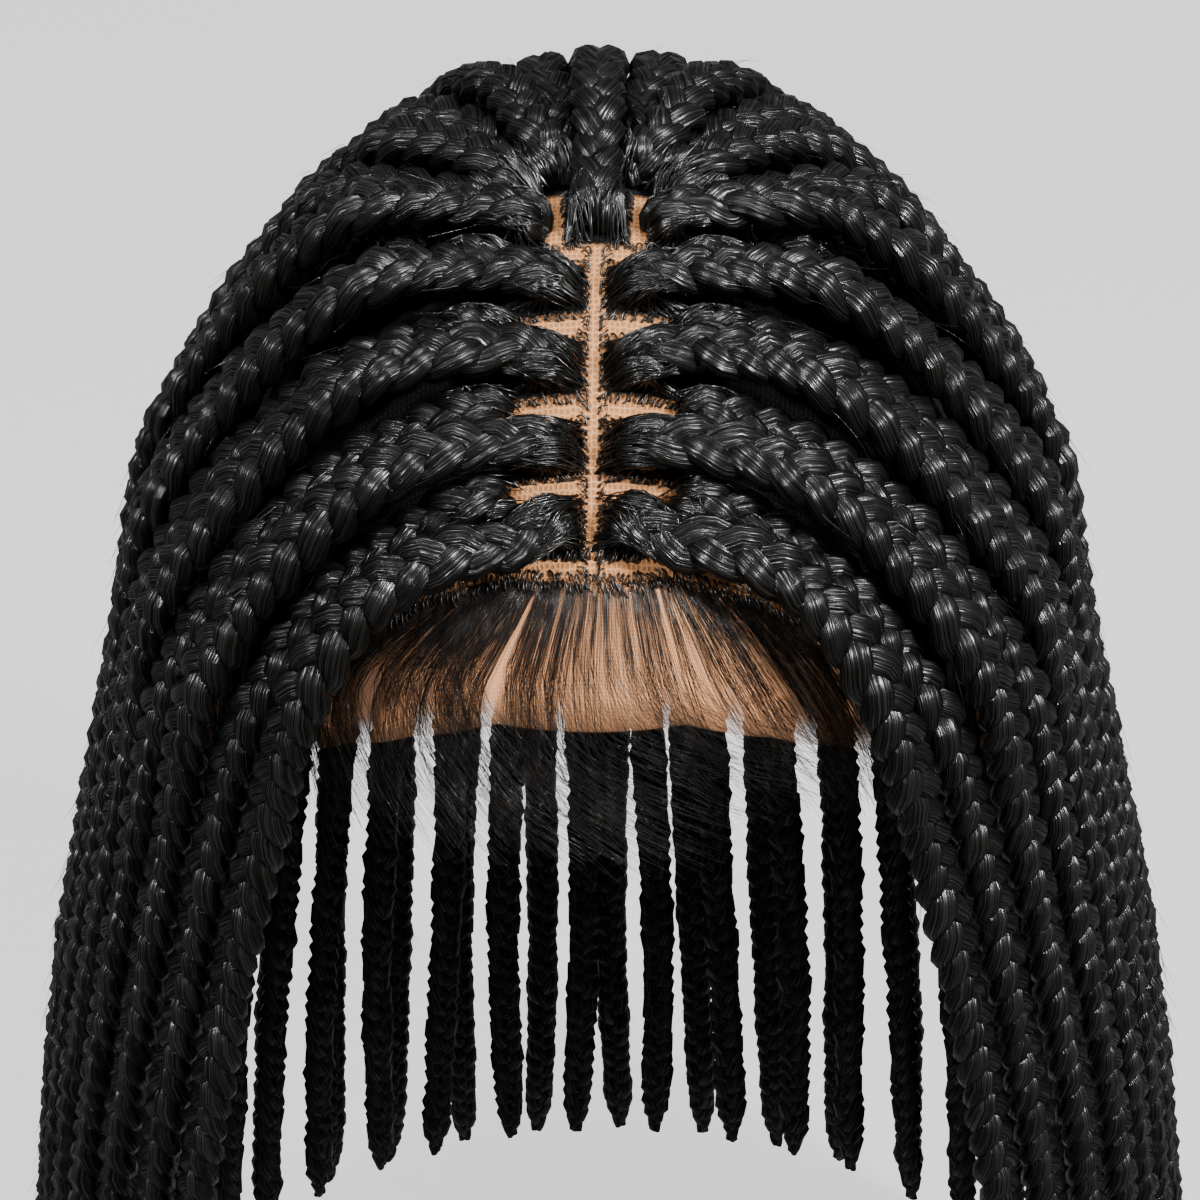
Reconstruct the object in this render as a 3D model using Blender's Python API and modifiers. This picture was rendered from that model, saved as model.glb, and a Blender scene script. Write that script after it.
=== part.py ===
"""Knotless box-braid wig on a full-lace cap, modelled as it is worn.

The origin is the inner crown of the cap, where the head carries the wig. The face looks along -Y and
+X is the viewer's right. Everything is in metres. Each braid starts in its square of the parting grid,
runs over the head to a place in the ring of braids at ear level, and hangs from there to the hem.
The routes are laid over the cap first and then settled, so that neighbouring braids rest beside or on
top of each other instead of passing through each other.
"""

import math
from typing import NamedTuple

import bmesh
import bpy
import numpy as np
from mathutils import Vector

# Cap: an ellipsoid shell that fits a head of 55 cm girth
CAP_CENTRE = np.array([0.0, 0.0, -0.092])
CAP_RADII = np.array([0.076, 0.097, 0.092])
CAP_WALL = 0.0012
CAP_COLUMNS = 28
CAP_RINGS = 9
PIECE_GAP = 0.0004
# One radius turns a distance measured along the cap into an angle from the crown
MAP_RADIUS = 0.092

# Lace front and baby hair
LACE_FRONT_WALL = 0.0010
LACE_FRONT_DEPTH = 0.025
LACE_FRONT_END_SHARE = 0.35
LACE_FRONT_TAPER = 1.5
# Columns each side of the middle; they follow the cap's own, so the two edges run side by side
LACE_FRONT_SIDE_COLUMNS = 5
LACE_FRONT_ROWS = 4
BABY_HAIR_WALL = 0.0012
BABY_HAIR_HALF_ANGLE = 46.0
BABY_HAIR_LOCKS = 12
BABY_HAIR_COLUMNS_PER_LOCK = 4
BABY_HAIR_ROWS = 4
BABY_HAIR_START = 0.0020
BABY_HAIR_LOCK_DEPTH = 0.14
BABY_HAIR_LOCK_RISE = 0.0006

# Braids: section sizes from root to tip
ROOT_WIDTH = 0.0113
EAR_WIDTH = 0.0102
TIP_WIDTH = 0.0088
THICKNESS_RATIO = 0.78
ROOT_LIFT = 0.0050
FOOT_LENGTH = 0.0070
FOOT_WIDTH_SHARE = 0.8
BEND_WIDTH_SHARE = 0.9
TUFT_LENGTH = 0.014
TUFT_SCALE = 0.5
HEM_Z = -0.380
UNDER_HEM_Z = -0.368
HEAD_STEPS = 26
HANG_STEPS = 10

# Ring of braids at ear level
OUTER_COUNT = 20
FIRST_OUTER_ANGLE = 43.0
OUTER_EAR_LIFT = 0.0195
FRONT_SPACING = 0.0104
BACK_SPACING = 0.0160
UNDER_COUNT = 14
UNDER_EAR_LIFT = 0.0066
UNDER_ROOT_POLAR = (80.0, 68.0)

# Lift of a braid's centre line above the cap, and the share of its way over the head that it climbs for
UPPER_LIFT = 0.0125
LOWER_LIFT = 0.0060
CLIMB_SHARE = 0.28

# Share of the way at which the swing of a route is half done, as a power
BOW_POWER = 0.8

# Settling: rounds, the space that each braid keeps around itself, and how fast it moves
SETTLE_ROUNDS = 140
SIDE_CLEARANCE = 0.0010
STACK_CLEARANCE = 0.0015
CONTACT_REACH = 0.0040
PUSH_SHARE = 0.45
NEIGHBOUR_SHARE = 0.2
PAIRS_KEPT_FOR = 8
# Freedom of the first two and the last two points of a braid's way over the head
END_FREEDOM = (0.0, 0.35, 0.5, 0.0)
EAR_SMOOTHINGS = 4
EAR_SMOOTHING_REACH = 5

# Sections of the solid braids over the head and below it, and how they crowd at the root and the ear
OUTER_SECTIONS = (7, 4)
UNDER_SECTIONS = (2, 4)
HEAD_CROWDING = 1.25
HANG_CROWDING = 1.8
FIRST_SECTION = 0.012
JOINED_LEVEL = 3
SHARP_ANGLE = 50.0


class RimRow(NamedTuple):
    """Edge of the cap: its angle down from the crown at one angle round the head from the face."""

    azimuth: float
    polar: float


RIM = (
    RimRow(0.0, 54.5),
    RimRow(13.0, 54.5),
    RimRow(25.0, 58.5),
    RimRow(35.0, 65.0),
    RimRow(45.0, 74.0),
    RimRow(60.0, 86.0),
    RimRow(75.0, 104.0),
    RimRow(90.0, 96.0),
    RimRow(120.0, 110.0),
    RimRow(180.0, 128.0),
)


class RootRow(NamedTuple):
    """Root of one outer braid on the viewer's right; the left side mirrors it.

    side and back are distances along the cap from the crown, bow is how far the route swings up from
    the straightest way, and upper says whether the braid lies over its neighbours.
    """

    side: float
    back: float
    bow: float
    upper: bool


# Squares along the centre parting, from the hairline back, in two staggered columns
PARTING_ROOTS = (
    RootRow(0.0110, -0.0775, 0.125, True),
    RootRow(0.0250, -0.0718, 0.080, False),
    RootRow(0.0110, -0.0641, 0.120, True),
    RootRow(0.0250, -0.0565, 0.090, False),
    RootRow(0.0110, -0.0489, 0.120, True),
    RootRow(0.0250, -0.0407, 0.090, False),
    RootRow(0.0110, -0.0325, 0.110, True),
    RootRow(0.0250, -0.0250, 0.080, False),
)


class FanRow(NamedTuple):
    """Root behind the parting: its turn from straight sideways and its reach from the fan's centre."""

    turn: float
    reach: float


CROWN_FAN = (
    FanRow(0.0, 0.016),
    FanRow(8.0, 0.045),
    FanRow(16.0, 0.031),
    FanRow(24.0, 0.050),
    FanRow(32.0, 0.022),
    FanRow(39.0, 0.046),
    FanRow(46.0, 0.034),
    FanRow(53.0, 0.052),
    FanRow(58.0, 0.020),
    FanRow(64.0, 0.046),
    FanRow(75.0, 0.057),
    FanRow(69.0, 0.031),
)
CROWN_FAN_BACK = -0.016
CROWN_UPPER_REACH = 0.035
CROWN_BOW = 0.09
CENTRE_ROOT = RootRow(0.0, -0.0160, 0.030, False)
# The frontmost braids have none below them, so they lie closer to the head
FRONT_EAR_LIFTS = (0.0120, 0.0145, 0.0175)


class SpreadRow(NamedTuple):
    """How far the hanging braids have spread from the head at one depth below the crown."""

    depth: float
    spread: float


SPREAD = (
    SpreadRow(0.092, 0.0),
    SpreadRow(0.120, 0.0100),
    SpreadRow(0.150, 0.0180),
    SpreadRow(0.208, 0.0295),
    SpreadRow(0.290, 0.0435),
    SpreadRow(0.380, 0.0550),
)
# Share of the spread that carries a braid forwards or backwards
DEPTH_SPREAD_SHARE = 0.25


def ease(value):
    """Smooth step from 0 to 1."""
    value = min(max(value, 0.0), 1.0)
    return value * value * (3.0 - 2.0 * value)


def unit_direction(azimuth, polar):
    """Direction from the cap's centre, before it is stretched to the ellipsoid."""
    return np.array(
        [
            math.sin(polar) * math.sin(azimuth),
            -math.sin(polar) * math.cos(azimuth),
            math.cos(polar),
        ]
    )


def cap_point(azimuth, polar, lift):
    """Point above the cap's outer face; angles in radians, azimuth from the face."""
    return CAP_CENTRE + (CAP_RADII + CAP_WALL + lift) * unit_direction(azimuth, polar)


def cap_normal(points):
    """Outward normals of the cap at points near it; level below the ear line, where hair hangs."""
    normal = (points - CAP_CENTRE) / CAP_RADII**2
    normal[..., 2] = np.where(points[..., 2] < CAP_CENTRE[2], 0.0, normal[..., 2])
    return normal / np.linalg.norm(normal, axis=-1, keepdims=True)


def lift_above_cap(points):
    """Height of points above the cap's outer face."""
    arm = points - CAP_CENTRE
    ratio = np.linalg.norm(arm / (CAP_RADII + CAP_WALL), axis=-1)
    return (1.0 - 1.0 / ratio) * np.linalg.norm(arm, axis=-1)


def rim_polar(azimuth_degrees):
    """Angle of the cap's edge below the crown, in radians."""
    turn = abs((azimuth_degrees + 180.0) % 360.0 - 180.0)
    polar = np.interp(turn, [row.azimuth for row in RIM], [row.polar for row in RIM])
    return math.radians(polar)


def map_angles(side, back):
    """Azimuth and polar angle of a place measured along the cap from its crown."""
    return math.atan2(side, -back), math.hypot(side, back) / MAP_RADIUS


def outer_roots():
    """Roots of the outer braids on the viewer's right, from the face to the back of the head."""
    roots = list(PARTING_ROOTS)
    for row in CROWN_FAN:
        turn = math.radians(row.turn)
        side = row.reach * math.cos(turn)
        back = CROWN_FAN_BACK + row.reach * math.sin(turn)
        roots.append(RootRow(side, back, CROWN_BOW * math.cos(turn), row.reach < CROWN_UPPER_REACH))
    return roots


def slot_angles():
    """Angles round the head of the outer braids at ear level, closer together at the face."""
    radii = CAP_RADII + CAP_WALL + OUTER_EAR_LIFT
    angles = np.radians(np.linspace(FIRST_OUTER_ANGLE, 180.0, 1441))
    ring = np.stack([radii[0] * np.sin(angles), -radii[1] * np.cos(angles)], axis=-1)
    steps = np.linalg.norm(np.diff(ring, axis=0), axis=1)
    arc = np.concatenate([[0.0], np.cumsum(steps)])
    places = np.concatenate([[0.0], np.cumsum(np.linspace(FRONT_SPACING, BACK_SPACING, OUTER_COUNT))])
    return np.interp(places * arc[-1] / places[-1], arc, angles)


def under_angles():
    """Angles round the head of the braids below the outer layer, in the gaps of its rear part."""
    slots = slot_angles()[-UNDER_COUNT - 1 :]
    return (slots[:-1] + slots[1:]) / 2.0


def hanging_point(start, angle, height):
    """Where a braid that leaves the ear line at start and angle hangs at one height."""
    depths = [row.depth for row in SPREAD]
    spread = np.interp(-height, depths, [row.spread for row in SPREAD])
    sideways = math.sin(angle)
    if angle < math.pi / 2.0:
        sideways = math.sqrt(sideways)
    return np.array(
        [
            start[0] + spread * sideways,
            start[1] - DEPTH_SPREAD_SHARE * spread * math.cos(angle),
            height,
        ]
    )


def laid_route(root, angle, ear_lift, hem, crest_lift):
    """Centre line of one braid on the viewer's right, before settling.

    crest_lift is the lift over the neighbours' roots, or None for a braid that climbs evenly.
    """
    start = unit_direction(*map_angles(root.side, root.back))
    end = unit_direction(angle, math.pi / 2.0)
    turn = math.acos(float(np.clip(start @ end, -1.0, 1.0)))
    swing = np.cross(start, end)
    if root.side == 0.0:
        swing = np.array([-1.0, 0.0, 0.0])
    swing = swing / np.linalg.norm(swing)
    points = []
    for step in range(HEAD_STEPS + 1):
        share = step / HEAD_STEPS
        direction = (math.sin((1.0 - share) * turn) * start + math.sin(share * turn) * end) / math.sin(turn)
        direction = direction + swing * root.bow * math.sin(math.pi * share**BOW_POWER)
        direction = direction / np.linalg.norm(direction)
        if crest_lift is None:
            lift = ROOT_LIFT + (ear_lift - ROOT_LIFT) * share
        else:
            climb = (crest_lift - ROOT_LIFT) * ease(share / CLIMB_SHARE)
            run_out = (ear_lift - crest_lift) * ease((share - CLIMB_SHARE) / (1.0 - CLIMB_SHARE))
            lift = ROOT_LIFT + climb + run_out
        points.append(CAP_CENTRE + (CAP_RADII + CAP_WALL + lift) * direction)
    ear = points[-1]
    for step in range(1, HANG_STEPS + 1):
        height = ear[2] + (hem - ear[2]) * step / HANG_STEPS
        points.append(hanging_point(ear, angle, height))
    return np.array(points)


def lay_routes():
    """Laid centre lines of all braids, as a dictionary from name to points."""
    angles = slot_angles()
    routes = {}
    for index, root in enumerate(outer_roots()):
        ear_lift = FRONT_EAR_LIFTS[index] if index < len(FRONT_EAR_LIFTS) else OUTER_EAR_LIFT
        crest = UPPER_LIFT if root.upper else LOWER_LIFT
        right = laid_route(root, angles[index], ear_lift, HEM_Z, crest)
        routes[f"braid_left_{index:02d}"] = right * [-1.0, 1.0, 1.0]
        routes[f"braid_right_{index:02d}"] = right
    routes["braid_centre_back"] = laid_route(CENTRE_ROOT, math.pi, OUTER_EAR_LIFT, HEM_Z, UPPER_LIFT)
    for index, angle in enumerate(under_angles()):
        reach = MAP_RADIUS * math.radians(UNDER_ROOT_POLAR[index % 2])
        root = RootRow(reach * math.sin(angle), -reach * math.cos(angle), 0.0, False)
        right = laid_route(root, angle, UNDER_EAR_LIFT, UNDER_HEM_Z, None)
        routes[f"under_left_{index:02d}"] = right * [-1.0, 1.0, 1.0]
        routes[f"under_right_{index:02d}"] = right
    return routes


class WidthRow(NamedTuple):
    """Width of a braid at one place: 0 is its root, 1 is ear level and 2 is its tip."""

    place: float
    width: float


WIDTHS = (
    WidthRow(0.0, ROOT_WIDTH),
    WidthRow(0.35, ROOT_WIDTH),
    WidthRow(1.0, EAR_WIDTH),
    WidthRow(2.0, TIP_WIDTH),
)


def width_at(place):
    """Width of a braid at a place between its root and its tip."""
    return np.interp(place, [row.place for row in WIDTHS], [row.width for row in WIDTHS])


def close_pairs(points, owner):
    """Pairs of points on different braids that are near enough to meet."""
    gaps = ((points[:, None, :] - points[None, :, :]) ** 2).sum(-1)
    near = (gaps < (2.0 * ROOT_WIDTH) ** 2) & (owner[:, None] != owner[None, :])
    return np.where(near)


def push_apart(lines, first, second, widths):
    """Moves for the points of all lines that bring overlapping oval sections apart."""
    points = lines.reshape(-1, 3)
    tangents = np.gradient(lines, axis=1)
    tangents = (tangents / np.linalg.norm(tangents, axis=-1, keepdims=True)).reshape(-1, 3)
    normals = cap_normal(points.copy())
    gap = points[first] - points[second]
    along = (gap * tangents[second]).sum(-1)
    across = gap - along[:, None] * tangents[second]
    outward = normals[first] + normals[second]
    outward = outward / np.linalg.norm(outward, axis=-1, keepdims=True)
    stacked = (across * outward).sum(-1)
    sideways = across - stacked[:, None] * outward
    beside = np.linalg.norm(sideways, axis=-1) + 1e-9
    width = (widths[first] + widths[second]) / 2.0
    height = width * THICKNESS_RATIO + STACK_CLEARANCE
    width = width + SIDE_CLEARANCE
    closeness = np.sqrt((beside / width) ** 2 + (stacked / height) ** 2)
    hit = (np.abs(along) < CONTACT_REACH) & (closeness < 1.0)
    slope = sideways[hit] / width[hit, None] ** 2 + outward[hit] * (stacked / height**2)[hit, None]
    slope = slope / ((slope**2).sum(-1, keepdims=True) + 1e-9)
    push = slope * (PUSH_SHARE * (1.0 - closeness[hit]) * closeness[hit])[:, None]
    moves = np.zeros_like(points)
    counts = np.zeros(len(points))
    np.add.at(moves, first[hit], push)
    np.add.at(counts, first[hit], 1.0)
    return (moves / np.maximum(counts, 1.0)[:, None]).reshape(lines.shape)


def settle(laid):
    """Settle the laid head stretches so that the braids lie beside and over each other."""
    lines = laid.copy()
    count, steps, _ = lines.shape
    owner = np.repeat(np.arange(count), steps)
    widths = np.tile(width_at(np.linspace(0.0, 1.0, steps)), count)
    free = np.ones((1, steps, 1))
    free[0, [0, 1, -2, -1], 0] = END_FREEDOM
    half_thickness = widths.reshape(count, steps) * THICKNESS_RATIO / 2.0
    for turn in range(SETTLE_ROUNDS):
        if turn % PAIRS_KEPT_FOR == 0:
            first, second = close_pairs(lines.reshape(-1, 3), owner)
        lines = lines + push_apart(lines, first, second, widths) * free
        if turn < SETTLE_ROUNDS - PAIRS_KEPT_FOR:
            shift = lines - laid
            around = shift[:, 2:] + shift[:, :-2] - 2.0 * shift[:, 1:-1]
            shift[:, 1:-1] = shift[:, 1:-1] + NEIGHBOUR_SHARE * around
            lines = laid + shift
        low = half_thickness + STACK_CLEARANCE - lift_above_cap(lines)
        lines = lines + cap_normal(lines.copy()) * np.maximum(low, 0.0)[..., None] * free
    return lines


def settled_routes():
    """Centre lines of all braids after settling, from name to points."""
    laid = lay_routes()
    heads = settle(np.array([points[: HEAD_STEPS + 1] for points in laid.values()]))
    routes = {}
    for head, (name, points) in zip(heads, laid.items()):
        line = np.concatenate([head, points[HEAD_STEPS + 1 :]])
        start = HEAD_STEPS - EAR_SMOOTHING_REACH
        stop = HEAD_STEPS + EAR_SMOOTHING_REACH // 2 + 1
        for _ in range(EAR_SMOOTHINGS):
            before_and_after = line[start - 1 : stop - 1] + line[start + 1 : stop + 1]
            line[start:stop] = 0.5 * line[start:stop] + 0.25 * before_and_after
        routes[name] = line
    return routes


class Ring(NamedTuple):
    """One section of a braid: centre, direction of the braid, outward direction, width, thickness."""

    centre: np.ndarray
    along: np.ndarray
    outward: np.ndarray
    width: float
    thickness: float


def unit(vector):
    """Vector of length 1."""
    return vector / np.linalg.norm(vector)


def rings_along(line, sections):
    """Sections of one braid: a foot on the cap, the run over the head, the hanging length, a tuft."""
    head_sections, hang_sections = sections
    tangents = np.gradient(line, axis=0)
    normals = cap_normal(line.copy())
    indices = np.arange(len(line))

    def section(place, width):
        centre = np.array([np.interp(place, indices, line[:, axis]) for axis in range(3)])
        along = unit(np.array([np.interp(place, indices, tangents[:, axis]) for axis in range(3)]))
        outward = np.array([np.interp(place, indices, normals[:, axis]) for axis in range(3)])
        outward = unit(outward - along * (outward @ along))
        return Ring(centre, along, outward, width, width * THICKNESS_RATIO)

    up = cap_normal(line[:1].copy())[0]
    ahead = unit(tangents[0] - up * (tangents[0] @ up))
    foot_centre = line[0] - up * (ROOT_LIFT - PIECE_GAP)
    foot = Ring(foot_centre, up, -ahead, FOOT_WIDTH_SHARE * ROOT_WIDTH, FOOT_LENGTH)
    bend_centre = foot_centre + (ahead + up) * 0.5 * FOOT_LENGTH
    bend = Ring(bend_centre, unit(up + ahead), unit(up - ahead), BEND_WIDTH_SHARE * ROOT_WIDTH, FOOT_LENGTH)
    first = float(np.interp(FIRST_SECTION, arc_lengths(line), indices))
    rings = [foot, bend]
    for share in np.linspace(0.0, 1.0, head_sections) ** HEAD_CROWDING:
        place = first + (HEAD_STEPS - first) * share
        rings.append(section(place, width_at(place / HEAD_STEPS)))
    last = len(line) - 1
    tuft = float(np.interp(arc_lengths(line)[-1] - TUFT_LENGTH, arc_lengths(line), indices))
    for share in np.linspace(0.0, 1.0, hang_sections + 1)[1:] ** HANG_CROWDING:
        place = HEAD_STEPS + (tuft - HEAD_STEPS) * share
        rings.append(section(place, width_at(1.0 + (place - HEAD_STEPS) / HANG_STEPS)))
    rings.append(section(last, TIP_WIDTH * TUFT_SCALE))
    return rings


def arc_lengths(line):
    """Length along a line at each of its points."""
    steps = np.linalg.norm(np.diff(line, axis=0), axis=1)
    return np.concatenate([[0.0], np.cumsum(steps)])


# Corners of a six-sided section as shares of half the width and half the thickness
POINTED_SECTION = ((1.0, 0.0), (0.5, 1.0), (-0.5, 1.0), (-1.0, 0.0), (-0.5, -1.0), (0.5, -1.0))
FLAT_SIDED_SECTION = ((1.0, 0.5), (0.0, 1.0), (-1.0, 0.5), (-1.0, -0.5), (0.0, -1.0), (1.0, -0.5))


def loft_rings(mesh, rings, section):
    """Loft six-sided sections into one closed tube in a bmesh; returns the rows of its vertices."""
    rows = []
    for ring in rings:
        sideways = np.cross(ring.along, ring.outward)
        row = []
        for side_share, out_share in section:
            corner = ring.centre + sideways * side_share * ring.width / 2.0
            corner = corner + ring.outward * out_share * ring.thickness / 2.0
            row.append(mesh.verts.new(Vector(corner)))
        rows.append(row)
    corners = len(section)
    for lower, upper in zip(rows, rows[1:]):
        for index in range(corners):
            following = (index + 1) % corners
            mesh.faces.new((lower[index], lower[following], upper[following], upper[index]))
    mesh.faces.new(rows[0])
    mesh.faces.new(rows[-1][::-1])
    return rows


def join_neighbours(mesh, left_rows, right_rows, level):
    """Bridge two tubes of flat-sided sections between ring level and the next one."""

    def facing_side(rows, others):
        middle = sum((vertex.co for vertex in others[level]), Vector()) / len(others[level])
        choices = ((0, 5), (2, 3))
        gaps = [(rows[level][pair[0]].co - middle).length for pair in choices]
        return choices[gaps.index(min(gaps))]

    left_top, left_bottom = facing_side(left_rows, right_rows)
    right_top, right_bottom = facing_side(right_rows, left_rows)
    left_loop = (
        left_rows[level][left_top],
        left_rows[level][left_bottom],
        left_rows[level + 1][left_bottom],
        left_rows[level + 1][left_top],
    )
    right_loop = (
        right_rows[level][right_top],
        right_rows[level][right_bottom],
        right_rows[level + 1][right_bottom],
        right_rows[level + 1][right_top],
    )
    for loop in (left_loop, right_loop):
        face = next(f for f in loop[0].link_faces if all(f in v.link_faces for v in loop))
        mesh.faces.remove(face)
    for index in range(4):
        following = (index + 1) % 4
        mesh.faces.new((left_loop[index], left_loop[following], right_loop[following], right_loop[index]))


def finish_object(name, mesh, material, collection):
    """Turn a bmesh into a smooth-shaded object with outward faces."""
    bmesh.ops.recalc_face_normals(mesh, faces=mesh.faces)
    data = bpy.data.meshes.new(name)
    mesh.to_mesh(data)
    mesh.free()
    data.materials.append(material)
    data.shade_smooth()
    data.set_sharp_from_angle(angle=math.radians(SHARP_ANGLE))
    made = bpy.data.objects.new(name, data)
    collection.objects.link(made)
    return made


def shell_object(name, columns, wall, outwards, material, collection, closed_round):
    """Open grid of points, column by column, thickened by a Solidify modifier."""
    mesh = bmesh.new()
    grid = [[mesh.verts.new(Vector(point)) for point in column] for column in columns]
    pairs = list(zip(grid, grid[1:]))
    if closed_round:
        pairs.append((grid[-1], grid[0]))
    for near, far in pairs:
        for index in range(len(near) - 1):
            mesh.faces.new((near[index], near[index + 1], far[index + 1], far[index]))
    if closed_round:
        bmesh.ops.remove_doubles(mesh, verts=mesh.verts, dist=1e-6)
    made = finish_object(name, mesh, material, collection)
    centre = Vector(CAP_CENTRE)
    face = made.data.polygons[0]
    if face.normal.dot(face.center - centre) < 0.0:
        made.data.flip_normals()
    solid = made.modifiers.new("wall", "SOLIDIFY")
    solid.thickness = wall
    solid.offset = 1.0 if outwards else -1.0
    solid.use_even_offset = False
    return made


def build_lace_cap(material, collection):
    """The cap: an open shell from the crown to the hairline, the ears and the nape."""
    columns = []
    for column in range(CAP_COLUMNS):
        azimuth = 360.0 * column / CAP_COLUMNS
        rim = rim_polar(azimuth)
        points = []
        for ring in range(CAP_RINGS + 1):
            polar = rim * ring / CAP_RINGS
            points.append(cap_point(math.radians(azimuth), polar, -CAP_WALL))
        columns.append(points)
    return shell_object("lace_cap", columns, CAP_WALL, True, material, collection, True)


def build_lace_front(material, collection):
    """The sheer strip of lace that runs on from the hairline down the forehead."""
    columns = []
    for column in range(-LACE_FRONT_SIDE_COLUMNS, LACE_FRONT_SIDE_COLUMNS + 1):
        azimuth = 360.0 * column / CAP_COLUMNS
        start = rim_polar(azimuth) + 2.0 * PIECE_GAP / MAP_RADIUS
        fullness = ease(LACE_FRONT_TAPER * (1.0 - abs(column) / LACE_FRONT_SIDE_COLUMNS))
        depth_share = LACE_FRONT_END_SHARE + (1.0 - LACE_FRONT_END_SHARE) * fullness
        depth = LACE_FRONT_DEPTH * depth_share / MAP_RADIUS
        points = []
        for row in range(LACE_FRONT_ROWS + 1):
            polar = start + depth * row / LACE_FRONT_ROWS
            points.append(cap_point(math.radians(azimuth), polar, -CAP_WALL))
        columns.append(points)
    return shell_object("lace_front", columns, LACE_FRONT_WALL, True, material, collection, False)


class BabyHairRow(NamedTuple):
    """Length of the baby hair from the hairline at one angle round the head from the face."""

    azimuth: float
    length: float


BABY_HAIR = (
    BabyHairRow(0.0, 0.052),
    BabyHairRow(13.0, 0.055),
    BabyHairRow(25.0, 0.051),
    BabyHairRow(35.0, 0.042),
    BabyHairRow(46.0, 0.026),
)


def build_baby_hair(material, collection):
    """Loose hair of the hairline: locks side by side on one thin layer over the lace front."""
    columns = []
    count = BABY_HAIR_LOCKS * BABY_HAIR_COLUMNS_PER_LOCK
    azimuths = np.linspace(-BABY_HAIR_HALF_ANGLE, BABY_HAIR_HALF_ANGLE, count + 1)
    for column, azimuth in enumerate(azimuths):
        lock_phase = math.sin(math.pi * (column % BABY_HAIR_COLUMNS_PER_LOCK) / BABY_HAIR_COLUMNS_PER_LOCK)
        full = np.interp(abs(azimuth), [row.azimuth for row in BABY_HAIR], [row.length for row in BABY_HAIR])
        length = full * (1.0 - BABY_HAIR_LOCK_DEPTH * (1.0 - lock_phase))
        points = []
        for row in range(BABY_HAIR_ROWS + 1):
            share = row / BABY_HAIR_ROWS
            polar = rim_polar(azimuth) + (BABY_HAIR_START + (length - BABY_HAIR_START) * share) / MAP_RADIUS
            rise = BABY_HAIR_LOCK_RISE * lock_phase * math.sin(math.pi * share)
            lift = LACE_FRONT_WALL - CAP_WALL + PIECE_GAP + rise
            points.append(cap_point(math.radians(azimuth), polar, lift))
        columns.append(points)
    return shell_object("baby_hair", columns, BABY_HAIR_WALL, True, material, collection, False)


def build_outer_braids(routes, material, collection):
    """Each braid of the outer layer as a piece of its own."""
    for name, line in routes.items():
        if not name.startswith("braid_"):
            continue
        mesh = bmesh.new()
        loft_rings(mesh, rings_along(line, OUTER_SECTIONS), POINTED_SECTION)
        finish_object(name, mesh, material, collection)


def build_under_braids(side, routes, material, collection):
    """The braids below the outer layer on one side, joined where they lie side by side."""
    mesh = bmesh.new()
    tubes = []
    for name, line in routes.items():
        if name.startswith(f"under_{side}"):
            tubes.append(loft_rings(mesh, rings_along(line, UNDER_SECTIONS), FLAT_SIDED_SECTION))
    for near, far in zip(tubes, tubes[1:]):
        join_neighbours(mesh, near, far, JOINED_LEVEL)
    return finish_object(f"under_braids_{side}", mesh, material, collection)


def plain_material(name, colour, roughness, alpha=1.0):
    """Principled material with one colour and one roughness."""
    material = bpy.data.materials.new(name)
    material.use_nodes = True
    shader = material.node_tree.nodes["Principled BSDF"]
    shader.inputs["Base Color"].default_value = (*colour, 1.0)
    shader.inputs["Roughness"].default_value = roughness
    shader.inputs["Metallic"].default_value = 0.0
    shader.inputs["Alpha"].default_value = alpha
    return material


def clear_scene():
    """Remove the objects that a new file starts with."""
    for item in list(bpy.data.objects):
        bpy.data.objects.remove(item)


def main():
    """Build the wig."""
    clear_scene()
    collection = bpy.data.collections.new("braid_wig")
    bpy.context.scene.collection.children.link(collection)
    cap_lace = plain_material("cap_lace", (0.58, 0.36, 0.22), 0.8)
    sheer_lace = plain_material("sheer_lace", (0.62, 0.42, 0.28), 0.7, 0.5)
    fine_hair = plain_material("fine_hair", (0.012, 0.011, 0.010), 0.45)
    braid_hair = plain_material("braid_hair", (0.012, 0.012, 0.011), 0.4)
    under_hair = plain_material("under_hair", (0.010, 0.010, 0.009), 0.45)
    build_lace_cap(cap_lace, collection)
    build_lace_front(sheer_lace, collection)
    build_baby_hair(fine_hair, collection)
    routes = settled_routes()
    build_outer_braids(routes, braid_hair, collection)
    for side in ("left", "right"):
        build_under_braids(side, routes, under_hair, collection)


main()
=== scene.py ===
"""Visual model of a knotless box-braid wig on a full-lace cap, in the form that it has when worn.

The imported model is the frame. Everything is in metres in its axes: the origin is the inner crown of the
cap, its front looks along -Y and +X is the viewer's right. The routes of the braids repeat those of the
solids. Each braid is then plaited from three strands, and gets the loose hair of its root and its stray
hairs. The lace shows along the partings and below the hairline.
"""

import logging  # noqa: E402
import math  # noqa: E402
from dataclasses import astuple, dataclass, field  # noqa: E402
from enum import Enum  # noqa: E402
from itertools import product  # noqa: E402
from typing import NamedTuple  # noqa: E402

import bpy  # noqa: E402
import numpy as np  # noqa: E402
from bpy.types import Material, Node, NodeSocket, NodeTree, Object  # noqa: E402
from mathutils import Matrix, Vector  # noqa: E402

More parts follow.
